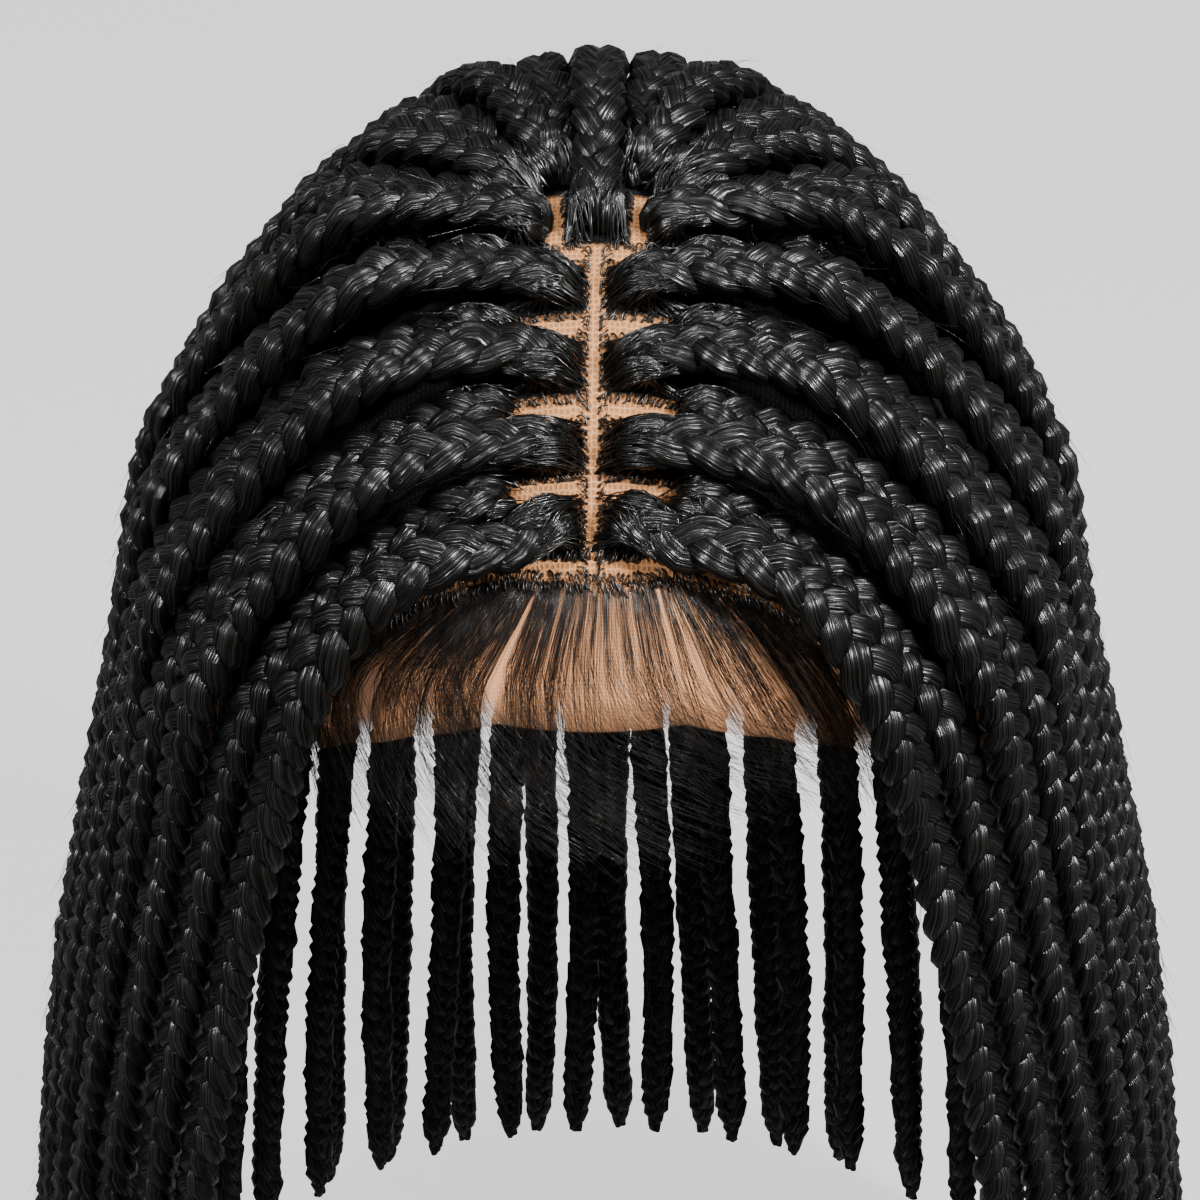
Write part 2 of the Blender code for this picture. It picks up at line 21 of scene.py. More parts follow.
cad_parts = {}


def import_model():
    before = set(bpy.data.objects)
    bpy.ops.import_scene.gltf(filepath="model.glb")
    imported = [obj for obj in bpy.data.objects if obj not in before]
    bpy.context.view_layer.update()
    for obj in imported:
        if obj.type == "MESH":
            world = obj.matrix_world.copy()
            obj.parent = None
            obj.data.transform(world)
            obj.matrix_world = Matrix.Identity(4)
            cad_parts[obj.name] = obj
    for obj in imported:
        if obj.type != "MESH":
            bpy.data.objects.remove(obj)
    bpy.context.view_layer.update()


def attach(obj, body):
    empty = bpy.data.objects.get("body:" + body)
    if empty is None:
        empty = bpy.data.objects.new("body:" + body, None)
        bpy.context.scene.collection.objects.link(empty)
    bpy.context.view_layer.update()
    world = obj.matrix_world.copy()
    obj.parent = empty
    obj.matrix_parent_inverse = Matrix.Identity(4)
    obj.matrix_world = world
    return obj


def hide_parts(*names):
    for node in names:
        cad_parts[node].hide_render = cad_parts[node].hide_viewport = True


LOG = logging.getLogger("braid_wig")
BODY = "root"
TURN = 2.0 * math.pi
LEAST_SAMPLES = 8
NUMBER_SOCKET, VECTOR_SOCKET = "NodeSocketFloat", "NodeSocketVector"
Array = np.ndarray
Values = np.ndarray | float


def table(kind: type, *rows: tuple) -> tuple:
    """Rows of one kind, each from its values."""
    return tuple(kind(*row) for row in rows)


class RimRow(NamedTuple):
    """Edge of the cap: its angle down from the crown at one angle round it from the front."""

    azimuth: float
    polar: float


class RootRow(NamedTuple):
    """Root of one outer braid on the viewer's right; the left side mirrors it.

    side and back are distances along the cap from the crown, bow is how far the route swings up from
    the straightest way, and upper says whether the braid lies over its neighbours.
    """

    side: float
    back: float
    bow: float
    upper: bool


class FanRow(NamedTuple):
    """Root behind the parting: its turn from straight sideways and its reach from the fan's centre."""

    turn: float
    reach: float


class SpreadRow(NamedTuple):
    """How far the hanging braids have spread from the cap at one depth below the crown."""

    depth: float
    spread: float


class WidthRow(NamedTuple):
    """Width of a braid at one place.

    0 is its root, 1 is the drop line, where it leaves the cap, and 2 is its tip.
    """

    place: float
    width: float


class BabyHairRow(NamedTuple):
    """Baby hair at one angle from the middle of the front.

    length is how far it falls, share how dense it is, sweep how far it leans sideways and curl how far
    its tips turn back, both in degrees round the cap.
    """

    azimuth: float
    length: float
    share: float
    sweep: float
    curl: float


# fmt: off
RIM = table(
    RimRow,
    (0.0, 54.5), (13.0, 54.5), (25.0, 58.5), (35.0, 65.0), (45.0, 74.0),
    (60.0, 86.0), (75.0, 104.0), (90.0, 96.0), (120.0, 110.0), (180.0, 128.0),
)
PARTING_ROOTS = table(
    RootRow,
    (0.0110, -0.0775, 0.125, True), (0.0250, -0.0718, 0.080, False),
    (0.0110, -0.0641, 0.120, True), (0.0250, -0.0565, 0.090, False),
    (0.0110, -0.0489, 0.120, True), (0.0250, -0.0407, 0.090, False),
    (0.0110, -0.0325, 0.110, True), (0.0250, -0.0250, 0.080, False),
)
CENTRE_ROOT = RootRow(0.0, -0.0160, 0.030, False)
CROWN_FAN = table(
    FanRow,
    (0.0, 0.016), (8.0, 0.045), (16.0, 0.031), (24.0, 0.050), (32.0, 0.022), (39.0, 0.046),
    (46.0, 0.034), (53.0, 0.052), (58.0, 0.020), (64.0, 0.046), (75.0, 0.057), (69.0, 0.031),
)
SPREAD = table(
    SpreadRow,
    (0.092, 0.0), (0.120, 0.0100), (0.150, 0.0180), (0.208, 0.0295), (0.290, 0.0435), (0.380, 0.0550),
)
WIDTHS = table(WidthRow, (0.0, 0.0113), (0.35, 0.0113), (1.0, 0.0102), (2.0, 0.0088))
BABY_HAIR = table(
    BabyHairRow,
    (-46.0, 0.026, 0.45, -1.0, 0.5), (-35.0, 0.042, 0.95, -9.5, 3.0),
    (-25.0, 0.051, 1.25, -14.0, 6.0), (-13.0, 0.055, 1.30, -9.5, 10.0),
    (-4.0, 0.054, 0.95, -4.0, 13.0), (6.0, 0.052, 0.70, 2.0, 11.0),
    (16.0, 0.052, 0.85, 7.5, 7.0), (25.0, 0.050, 0.95, 9.0, 5.0),
    (35.0, 0.042, 0.80, 5.0, 3.0), (46.0, 0.026, 0.40, 0.5, 0.0),
)
# fmt: on

# Places of the cross-partings, as distances along the cap behind the crown
CROSS_PARTINGS = (-0.0713, -0.0571, -0.0407, -0.0242)
HAIRLINE = -0.0877
PARTING_HALF_WIDTH = 0.0023
CROSS_HALF_WIDTH = 0.0026
CROSS_REACH = 0.0190
# The fork of bare lace beside the centre braid: it starts at the last cross-parting and spreads
FORK_SIDE = 0.0088
FORK_LEAN = 0.06
FORK_HALF_WIDTH = 0.0023
FORK_END = -0.0050
HAIRLINE_STRIP = 0.0042


def ease(value: Values) -> Array:
    """Smooth step that is 0 below 0 and 1 above 1."""
    value = np.clip(value, 0.0, 1.0)
    return value * value * (3.0 - 2.0 * value)


def rise_between(value: Values, low: float, high: float) -> Array:
    """Smooth step that is 0 below low and 1 above high."""
    return ease((value - low) / (high - low))


def unit(vectors: Array) -> Array:
    """Vectors of length 1, along the last axis."""
    return vectors / (np.linalg.norm(vectors, axis=-1, keepdims=True) + 1e-12)


def fork_side(back: Values) -> Values:
    """Distance of the fork's middle line from the centre, at places behind the crown."""
    return FORK_SIDE + FORK_LEAN * (back - CROSS_PARTINGS[-1])


def placed(name: str, data: bpy.types.ID) -> Object:
    """New object of the scene with the given data."""
    made = bpy.data.objects.new(name, data)
    bpy.context.scene.collection.objects.link(made)
    return made


def both_sides(kind: str, index: int, right: Array) -> dict[str, Array]:
    """Points of a braid of each side by name; the left one mirrors the right one."""
    return {f"{kind}_left_{index:02d}": right * [-1.0, 1.0, 1.0], f"{kind}_right_{index:02d}": right}


def table_value(rows: tuple, key: str, value: str, places: Values) -> Array:
    """Value of a table at places between its rows.

    Args:
        rows: The rows of the table, in the order of the key column.
        key: Name of the column that says where a row is.
        value: Name of the column that is read.
        places: Where the value is wanted.

    Returns:
        The values, interpolated in a straight line between rows.
    """
    return np.interp(places, [getattr(row, key) for row in rows], [getattr(row, value) for row in rows])


@dataclass(frozen=True)
class CapForm:
    """The ellipsoid that the cap follows, with its edge.

    Attributes:
        centre: Centre of the ellipsoid.
        radii: Inner radii along X, Y and Z.
        wall: Thickness of the lace.
        map_radius: Radius that turns a distance along the cap into an angle from the crown.
    """

    centre: tuple[float, float, float] = (0.0, 0.0, -0.092)
    radii: tuple[float, float, float] = (0.076, 0.097, 0.092)
    wall: float = 0.0012
    map_radius: float = 0.092

    def direction(self, azimuth: Values, polar: Values) -> Array:
        """Direction from the centre before it is stretched to the ellipsoid; angles in radians."""
        azimuth, polar = np.broadcast_arrays(azimuth, polar)
        level = np.sin(polar)
        return np.stack([level * np.sin(azimuth), -level * np.cos(azimuth), np.cos(polar)], axis=-1)

    def point(self, azimuth: Values, polar: Values, lift: Values) -> Array:
        """Points above the outer face of the cap.

        Args:
            azimuth: Angle round the cap from the front, in radians.
            polar: Angle down from the crown, in radians.
            lift: Height above the outer face.

        Returns:
            The points, with their coordinates along the last axis.
        """
        direction = self.direction(azimuth, polar)
        reach = np.array(self.radii) + self.wall + np.asarray(lift)[..., None]
        return np.array(self.centre) + reach * direction

    def map_angles(self, side: Values, back: Values) -> tuple[Array, Array]:
        """Azimuth and polar angle of places measured along the cap from its crown."""
        return np.arctan2(side, -np.asarray(back)), np.hypot(side, back) / self.map_radius

    def mapped(self, side: Values, back: Values, lift: Values) -> Array:
        """Points above places measured along the cap from its crown."""
        azimuth, polar = self.map_angles(side, back)
        return self.point(azimuth, polar, lift)

    def rim_polar(self, azimuth_degrees: Values) -> Array:
        """Angle of the cap's edge below the crown, in radians."""
        turn = np.abs((np.asarray(azimuth_degrees) + 180.0) % 360.0 - 180.0)
        return np.radians(table_value(RIM, "azimuth", "polar", turn))

    def normals(self, points: Array) -> Array:
        """Outward directions at points near the cap; level below the drop line, where hair hangs."""
        normal = (points - np.array(self.centre)) / np.array(self.radii) ** 2
        normal[..., 2] = np.where(points[..., 2] < self.centre[2], 0.0, normal[..., 2])
        return unit(normal)

    def lifts(self, points: Array) -> Array:
        """Heights of points above the outer face of the cap."""
        arm = points - np.array(self.centre)
        ratio = np.linalg.norm(arm / (np.array(self.radii) + self.wall), axis=-1)
        return (1.0 - 1.0 / ratio) * np.linalg.norm(arm, axis=-1)


@dataclass
class BraidLayout:
    """Centre lines of all braids: laid over the cap, then settled beside and over each other."""

    cap: CapForm
    # Braids on each side, and where they pass the drop line: angle, spacing and height above the cap
    outer_count: int = 20
    under_count: int = 14
    first_outer_angle: float = 43.0
    arc_samples: int = 1441
    front_spacing: float = 0.0104
    back_spacing: float = 0.0160
    outer_drop_lift: float = 0.0195
    front_drop_lifts: tuple[float, ...] = (0.0120, 0.0145, 0.0175)
    under_root_polar: tuple[float, float] = (80.0, 68.0)
    under_drop_lift: float = 0.0066
    # The fan behind the parting, the way up from the root over the neighbours, and the hanging part
    fan_back: float = -0.016
    fan_upper_reach: float = 0.035
    fan_bow: float = 0.09
    root_lift: float = 0.0050
    upper_lift: float = 0.0125
    lower_lift: float = 0.0060
    climb_share: float = 0.28
    bow_power: float = 0.8
    hem: float = -0.380
    under_hem: float = -0.368
    depth_spread_share: float = 0.25
    # Points of a centre line on the cap and below it
    cap_steps: int = 26
    hang_steps: int = 10
    # Settling: gaps between braids, strength and number of the moves, and how free the ends are
    thickness_ratio: float = 0.78
    side_clearance: float = 0.0010
    stack_clearance: float = 0.0015
    contact_reach: float = 0.0040
    push_share: float = 0.45
    neighbour_share: float = 0.2
    settle_rounds: int = 140
    pairs_kept_for: int = 8
    end_freedom: tuple[float, float, float, float] = (0.0, 0.35, 0.5, 0.0)
    drop_smoothings: int = 4
    drop_smoothing_reach: int = 5

    def outer_roots(self) -> list[RootRow]:
        """Roots of the outer braids on the viewer's right, from the front to the back of the cap."""
        roots = list(PARTING_ROOTS)
        for row in CROWN_FAN:
            turn = math.radians(row.turn)
            side = row.reach * math.cos(turn)
            back = self.fan_back + row.reach * math.sin(turn)
            bow = self.fan_bow * math.cos(turn)
            roots.append(RootRow(side, back, bow, row.reach < self.fan_upper_reach))
        return roots

    def root_points(self) -> dict[str, Array]:
        """Middles of the squares of the outer braids on the cap, by name."""
        points = {"braid_centre_back": self.cap.mapped(CENTRE_ROOT.side, CENTRE_ROOT.back, 0.0)}
        for index, root in enumerate(self.outer_roots()):
            points |= both_sides("braid", index, self.cap.mapped(root.side, root.back, 0.0))
        return points

    def slot_angles(self) -> Array:
        """Angles round the cap of the outer braids at the drop line, closer together at the front."""
        radii = np.array(self.cap.radii) + self.cap.wall + self.outer_drop_lift
        angles = np.radians(np.linspace(self.first_outer_angle, 180.0, self.arc_samples))
        ring = np.stack([radii[0] * np.sin(angles), -radii[1] * np.cos(angles)], axis=-1)
        arc = np.concatenate([[0.0], np.cumsum(np.linalg.norm(np.diff(ring, axis=0), axis=1))])
        spacings = np.linspace(self.front_spacing, self.back_spacing, self.outer_count)
        places = np.concatenate([[0.0], np.cumsum(spacings)])
        return np.interp(places * arc[-1] / places[-1], arc, angles)

    def hanging_point(self, start: Array, angle: float, height: float) -> Array:
        """Where a braid hangs at one height.

        Args:
            start: Where the braid leaves the drop line.
            angle: Its angle round the cap.
            height: Height at which it is wanted.

        Returns:
            The point of the centre line.
        """
        spread = float(table_value(SPREAD, "depth", "spread", -height))
        sideways = math.sin(angle)
        if angle < math.pi / 2.0:
            sideways = math.sqrt(sideways)
        forward = self.depth_spread_share * spread * math.cos(angle)
        return np.array([start[0] + spread * sideways, start[1] - forward, height])

    def laid_route(
        self, root: RootRow, angle: float, drop_lift: float, hem: float, crest_lift: float | None
    ) -> Array:
        """Centre line of one braid on the viewer's right, before settling.

        Args:
            root: Where the braid starts.
            angle: Its angle round the cap at the drop line.
            drop_lift: Its height above the cap there.
            hem: Height of its tip.
            crest_lift: Lift over the neighbours' roots, or None for a braid that climbs evenly.

        Returns:
            Points from the root to the tip.
        """
        start = self.cap.direction(*self.cap.map_angles(root.side, root.back))
        end = self.cap.direction(angle, math.pi / 2.0)
        turn = math.acos(float(np.clip(start @ end, -1.0, 1.0)))
        swing = np.cross(start, end)
        if root.side == 0.0:
            swing = np.array([-1.0, 0.0, 0.0])
        swing = unit(swing)
        points = []
        for step in range(self.cap_steps + 1):
            share = step / self.cap_steps
            direction = math.sin((1.0 - share) * turn) * start + math.sin(share * turn) * end
            direction = direction / math.sin(turn)
            direction = direction + swing * root.bow * math.sin(math.pi * share**self.bow_power)
            direction = unit(direction)
            if crest_lift is None:
                lift = self.root_lift + (drop_lift - self.root_lift) * share
            else:
                climb = (crest_lift - self.root_lift) * ease(share / self.climb_share)
                run_out = rise_between(share, self.climb_share, 1.0)
                lift = self.root_lift + climb + (drop_lift - crest_lift) * run_out
            reach = np.array(self.cap.radii) + self.cap.wall + lift
            points.append(np.array(self.cap.centre) + reach * direction)
        drop = points[-1]
        for step in range(1, self.hang_steps + 1):
            height = drop[2] + (hem - drop[2]) * step / self.hang_steps
            points.append(self.hanging_point(drop, angle, height))
        return np.array(points)

    def laid(self) -> dict[str, Array]:
        """Centre lines of all braids before settling, from name to points."""
        angles = self.slot_angles()
        routes: dict[str, Array] = {}
        for index, root in enumerate(self.outer_roots()):
            drop_lift = self.outer_drop_lift
            if index < len(self.front_drop_lifts):
                drop_lift = self.front_drop_lifts[index]
            crest = self.upper_lift if root.upper else self.lower_lift
            route = self.laid_route(root, float(angles[index]), drop_lift, self.hem, crest)
            routes |= both_sides("braid", index, route)
        routes["braid_centre_back"] = self.laid_route(
            CENTRE_ROOT, math.pi, self.outer_drop_lift, self.hem, self.upper_lift
        )
        slots = angles[-self.under_count - 1 :]
        for index, angle in enumerate((slots[:-1] + slots[1:]) / 2.0):
            reach = self.cap.map_radius * math.radians(self.under_root_polar[index % 2])
            root = RootRow(reach * math.sin(angle), -reach * math.cos(angle), 0.0, False)
            route = self.laid_route(root, float(angle), self.under_drop_lift, self.under_hem, None)
            routes |= both_sides("under", index, route)
        return routes

    def push_apart(self, lines: Array, first: Array, second: Array, widths: Array) -> Array:
        """Moves that bring overlapping oval sections apart.

        Args:
            lines: Points of all lines, one line a row.
            first: Index of the point that moves, for each near pair.
            second: Index of the point that it moves away from.
            widths: Width of the braid at each point.

        Returns:
            One move for each point, in the shape of lines.
        """
        points = lines.reshape(-1, 3)
        tangents = unit(np.gradient(lines, axis=1)).reshape(-1, 3)
        normals = self.cap.normals(points.copy())
        gap = points[first] - points[second]
        along = (gap * tangents[second]).sum(-1)
        across = gap - along[:, None] * tangents[second]
        outward = unit(normals[first] + normals[second])
        stacked = (across * outward).sum(-1)
        sideways = across - stacked[:, None] * outward
        beside = np.linalg.norm(sideways, axis=-1) + 1e-9
        width = (widths[first] + widths[second]) / 2.0
        height = width * self.thickness_ratio + self.stack_clearance
        width = width + self.side_clearance
        closeness = np.sqrt((beside / width) ** 2 + (stacked / height) ** 2)
        hit = (np.abs(along) < self.contact_reach) & (closeness < 1.0)
        slope = sideways[hit] / width[hit, None] ** 2 + outward[hit] * (stacked / height**2)[hit, None]
        slope = slope / ((slope**2).sum(-1, keepdims=True) + 1e-9)
        push = slope * (self.push_share * (1.0 - closeness[hit]) * closeness[hit])[:, None]
        moves = np.zeros_like(points)
        counts = np.zeros(len(points))
        np.add.at(moves, first[hit], push)
        np.add.at(counts, first[hit], 1.0)
        return (moves / np.maximum(counts, 1.0)[:, None]).reshape(lines.shape)

    def settle(self, laid: Array) -> Array:
        """Settle the stretches laid on the cap so that the braids lie beside and over each other."""
        lines = laid.copy()
        count, steps, _ = lines.shape
        owner = np.repeat(np.arange(count), steps)
        widths = np.tile(table_value(WIDTHS, "place", "width", np.linspace(0.0, 1.0, steps)), count)
        free = np.ones((1, steps, 1))
        free[0, [0, 1, -2, -1], 0] = self.end_freedom
        half_thickness = widths.reshape(count, steps) * self.thickness_ratio / 2.0
        first = second = np.zeros(0, dtype=int)
        for turn in range(self.settle_rounds):
            if turn % self.pairs_kept_for == 0:
                points = lines.reshape(-1, 3)
                gaps = ((points[:, None, :] - points[None, :, :]) ** 2).sum(-1)
                near = (gaps < (2.0 * WIDTHS[0].width) ** 2) & (owner[:, None] != owner[None, :])
                first, second = np.where(near)
            lines = lines + self.push_apart(lines, first, second, widths) * free
            if turn < self.settle_rounds - self.pairs_kept_for:
                shift = lines - laid
                around = shift[:, 2:] + shift[:, :-2] - 2.0 * shift[:, 1:-1]
                shift[:, 1:-1] = shift[:, 1:-1] + self.neighbour_share * around
                lines = laid + shift
            low = half_thickness + self.stack_clearance - self.cap.lifts(lines)
            lines = lines + self.cap.normals(lines.copy()) * np.maximum(low, 0.0)[..., None] * free
        return lines

    def routes(self) -> dict[str, Array]:
        """Centre lines of all braids after settling, from name to points."""
        laid = self.laid()
        uppers = self.settle(np.array([points[: self.cap_steps + 1] for points in laid.values()]))
        start = self.cap_steps - self.drop_smoothing_reach
        stop = self.cap_steps + self.drop_smoothing_reach // 2 + 1
        routes = {}
        for upper, (name, points) in zip(uppers, laid.items()):
            line = np.concatenate([upper, points[self.cap_steps + 1 :]])
            for _ in range(self.drop_smoothings):
                before_and_after = line[start - 1 : stop - 1] + line[start + 1 : stop + 1]
                line[start:stop] = 0.5 * line[start:stop] + 0.25 * before_and_after
            routes[name] = line
        return routes


def arc_lengths(line: Array) -> Array:
    """Length along a line at each of its points."""
    steps = np.linalg.norm(np.diff(line, axis=0), axis=1)
    return np.concatenate([[0.0], np.cumsum(steps)])


def smooth_curve(points: Array, extras: Array, step: float) -> tuple[Array, Array]:
    """Smooth curve through points, sampled evenly.

    Args:
        points: The points that it goes through.
        extras: Further values at the points, interpolated in a straight line.
        step: Wanted distance between samples.

    Returns:
        The samples and the extra values at them.
    """
    arc = arc_lengths(points)
    slopes = np.gradient(points, arc, axis=0)
    count = max(int(arc[-1] / step), LEAST_SAMPLES)
    places = np.linspace(0.0, arc[-1], count + 1)
    index = np.clip(np.searchsorted(arc, places, side="right") - 1, 0, len(arc) - 2)
    span = (arc[index + 1] - arc[index])[:, None]
    share = (places[:, None] - arc[index][:, None]) / span
    square, cube = share**2, share**3
    samples = (
        (2.0 * cube - 3.0 * square + 1.0) * points[index]
        + (cube - 2.0 * square + share) * span * slopes[index]
        + (3.0 * square - 2.0 * cube) * points[index + 1]
        + (cube - square) * span * slopes[index + 1]
    )
    values = extras[index] * (1.0 - share) + extras[index + 1] * share
    return samples, values


@dataclass
class BraidLine:
    """Centre line of one braid with the frame of its sections.

    Attributes:
        name: Name of the braid.
        points: Samples of the centre line from the root to the tip.
        outward: Direction away from the cap at each sample.
        widths: Width of the braid at each sample.
        phase: Turn of the plait at each sample, in radians.
    """

    name: str
    points: Array
    outward: Array
    widths: Array
    phase: Array
    arc: Array = field(init=False)
    tangents: Array = field(init=False)

    def __post_init__(self) -> None:
        """Work out the length and the direction at each sample."""
        self.arc = arc_lengths(self.points)
        self.tangents = unit(np.gradient(self.points, axis=0))

    def frame_at(self, place: float) -> tuple[Array, Array, Array, Array, float]:
        """Centre, direction, outward and sideways directions and width at a length from the root."""
        after = int(np.clip(np.searchsorted(self.arc, place), 1, len(self.arc) - 1))
        share = (place - self.arc[after - 1]) / (self.arc[after] - self.arc[after - 1])

        def here(values: Array) -> Array:
            """Values of the samples, brought to this place."""
            return values[after - 1] * (1.0 - share) + values[after] * share

        along, out = unit(here(self.tangents)), here(self.outward)
        out = unit(out - along * (out @ along))
        return here(self.points), along, out, np.cross(along, out), float(self.widths[after])


@dataclass
class BraidTracer:
    """Turns the routes of the layout into smooth centre lines with widths and plait phases."""

    layout: BraidLayout
    # Length of one full turn of the plait on the cap and below it, and where the one becomes the other
    cap_pitch: float = 0.0205
    hang_pitch: float = 0.0180
    pitch_start: float = 0.6
    pitch_reach: float = 0.8
    # The root: where it stands on the cap, its knee above it, and its growing width
    foot_shift: float = 0.0036
    centre_foot_shift: float = 0.0008
    knee_height: float = 0.0036
    knee_reach: float = 0.0012
    knee_lean: float = 0.35
    first_section: float = 0.0075
    root_widths: tuple[tuple[float, float], ...] = ((0.0, 0.62), (0.005, 0.78), (0.020, 0.88), (0.036, 1.0))
    # Braids that lie high near the crown are pressed down, roots sink in, and the first two shift back
    press_above: float = 0.0110
    press_share: float = 0.55
    press_span: tuple[float, float] = (-0.060, -0.020)
    root_sink: float = 0.0025
    sink_span: tuple[float, float] = (0.012, 0.036)
    front_shifts: tuple[tuple[str, float], ...] = (("braid_left_00", 0.0010), ("braid_right_00", 0.0028))
    front_span: tuple[float, float] = (0.018, 0.055)
    front_rise: float = 0.012
    # The tip, the sway of the hanging part, and waves of width and pitch: length, width, turn
    tuft_length: float = 0.014
    tuft_share: float = 0.42
    sway: float = 0.0016
    under_sway: float = 0.0018
    sway_start: float = 1.05
    sway_rise: float = 0.4
    sway_turns: float = 0.9
    sway_growth: float = 0.6
    under_fullness: float = 1.06
    piece_gap: float = 0.0004
    sample_step: float = 0.0008
    unevenness: tuple[tuple[float, float, float], ...] = (
        (0.0530, 0.035, 0.26),
        (0.0310, 0.035, 0.18),
        (0.0137, 0.030, 0.07),
    )
    phase_seed: int = 11

    def pressed(self, name: str, route: Array, arc: Array) -> tuple[Array, Array]:
        """Move a route where the first braids shift back, high braids are pressed and roots sink in.

        Args:
            name: Name of the braid.
            route: Its settled route.
            arc: Length along it at each point.

        Returns:
            The moved route and the outward direction at each point.
        """
        cap = self.layout.cap
        front_shift = dict(self.front_shifts).get(name, 0.0)
        fading = (1.0 - rise_between(arc, *self.front_span)) * (0.5 + 0.5 * ease(arc / self.front_rise))
        route = route + np.array([0.0, front_shift, 0.0]) * fading[:, None]
        normals = cap.normals(route.copy())
        if name.startswith("braid_"):
            on_cap = np.arange(len(route)) <= self.layout.cap_steps
            high = np.maximum(cap.lifts(route) - self.press_above, 0.0) * self.press_share
            crown = rise_between(route[:, 2], *self.press_span)
            route = route - normals * np.where(on_cap, high * crown, 0.0)[:, None]
            rising = 1.0 - rise_between(arc, *self.sink_span)
            route = route - normals * (self.root_sink * rising)[:, None]
        return route, normals

    def rooted(self, name: str, route: Array) -> tuple[Array, Array, Array]:
        """Run a braid from its foot on the cap over its knee to its tip.

        Args:
            name: Name of the braid.
            route: Its settled route.

        Returns:
            Its points, with the outward direction and the place of each.
        """
        cap, steps = self.layout.cap, self.layout.cap_steps
        arc = arc_lengths(route)
        route, normals = self.pressed(name, route, arc)
        up = normals[0]
        ahead = np.gradient(route, axis=0)[0]
        ahead = unit(ahead - up * (ahead @ up))
        foot_shift = self.centre_foot_shift if name == "braid_centre_back" else self.foot_shift
        foot = route[0] - ahead * foot_shift
        foot = foot - cap.normals(foot[None].copy())[0] * (cap.lifts(foot[None])[0] - self.piece_gap)
        knee = foot + up * self.knee_height + ahead * self.knee_reach
        kept = arc > self.first_section
        points = np.concatenate([[foot, knee], route[kept]])
        outward = np.concatenate([[-ahead, unit(self.knee_lean * up - ahead)], normals[kept]])
        number = np.arange(len(route))
        hanging = 1.0 + (number - steps) / self.layout.hang_steps
        places = np.where(number <= steps, number / steps, hanging)
        return points, outward, np.concatenate([[0.0, 0.0], places[kept]])

    def swayed(self, outward: Array, places: Array, under: bool, phase_start: float) -> Array:
        """Sideways moves of the hanging part of a braid.

        Args:
            outward: Direction away from the cap at each sample.
            places: Place of each sample, as in the table of widths.
            under: Whether the braid hangs below the outer layer.
            phase_start: Turn of the plait at the root.

        Returns:
            The move of each sample.
        """
        hung = np.maximum(places - self.sway_start, 0.0)
        swing = (self.under_sway if under else self.sway) * ease(hung / self.sway_rise)
        swing = swing * np.sin(TURN * (self.sway_turns * hung + phase_start))
        swing = swing * (self.sway_growth + self.sway_growth * hung)
        sideways = unit(np.cross(unit(outward), np.array([0.0, 0.0, 1.0])))
        return sideways * swing[:, None]

    def plaited(
        self, length: Array, places: Array, under: bool, phase_start: float
    ) -> tuple[Array, Array]:
        """Width of a braid and turn of its plait, both a little uneven.

        Args:
            length: Length from the root at each sample.
            places: Place of each sample, as in the table of widths.
            under: Whether the braid hangs below the outer layer.
            phase_start: Turn of the plait at the root.

        Returns:
            The widths and the turns.
        """
        widths = table_value(WIDTHS, "place", "width", places)
        if under:
            widths = widths * self.under_fullness
        gather = np.interp(length, *zip(*self.root_widths))
        left = (length[-1] - length) / self.tuft_length
        tuft = self.tuft_share + (1.0 - self.tuft_share) * ease(left)
        hanging = ease((places - self.pitch_start) / self.pitch_reach)
        pitch = self.cap_pitch + (self.hang_pitch - self.cap_pitch) * hanging
        turn = TURN * np.concatenate([[0.0], np.cumsum(np.diff(length) / pitch[1:])])
        for number, (wave, share, slip) in enumerate(self.unevenness, 2):
            place = TURN * length / wave + number * phase_start
            widths = widths * (1.0 + share * np.sin(place))
            turn = turn + slip * np.cos(place)
        return widths * gather * tuft, phase_start + turn

    def trace(self, name: str, route: Array, phase_start: float) -> BraidLine:
        """Trace one braid.

        Args:
            name: Name of the braid.
            route: Its settled route.
            phase_start: Turn of the plait at the root.

        Returns:
            The traced line.
        """
        under = name.startswith("under_")
        points, outward, places = self.rooted(name, route)
        samples, extras = smooth_curve(points, np.column_stack([outward, places]), self.sample_step)
        outward, places = extras[:, :3], extras[:, 3]
        samples = samples + self.swayed(outward, places, under, phase_start)
        widths, phase = self.plaited(arc_lengths(samples), places, under, phase_start)
        along = unit(np.gradient(samples, axis=0))
        out = outward - along * (outward * along).sum(-1, keepdims=True)
        return BraidLine(name, samples, unit(out), widths, phase)


def add_sockets(tree: NodeTree, way: str, sockets: dict[str, str]) -> None:
    """Give a node group its inputs or outputs.

    Args:
        tree: The group.
        way: INPUT or OUTPUT.
        sockets: Type of each socket, by name.
    """
    for label, kind in sockets.items():
        tree.interface.new_socket(label, in_out=way, socket_type=kind)


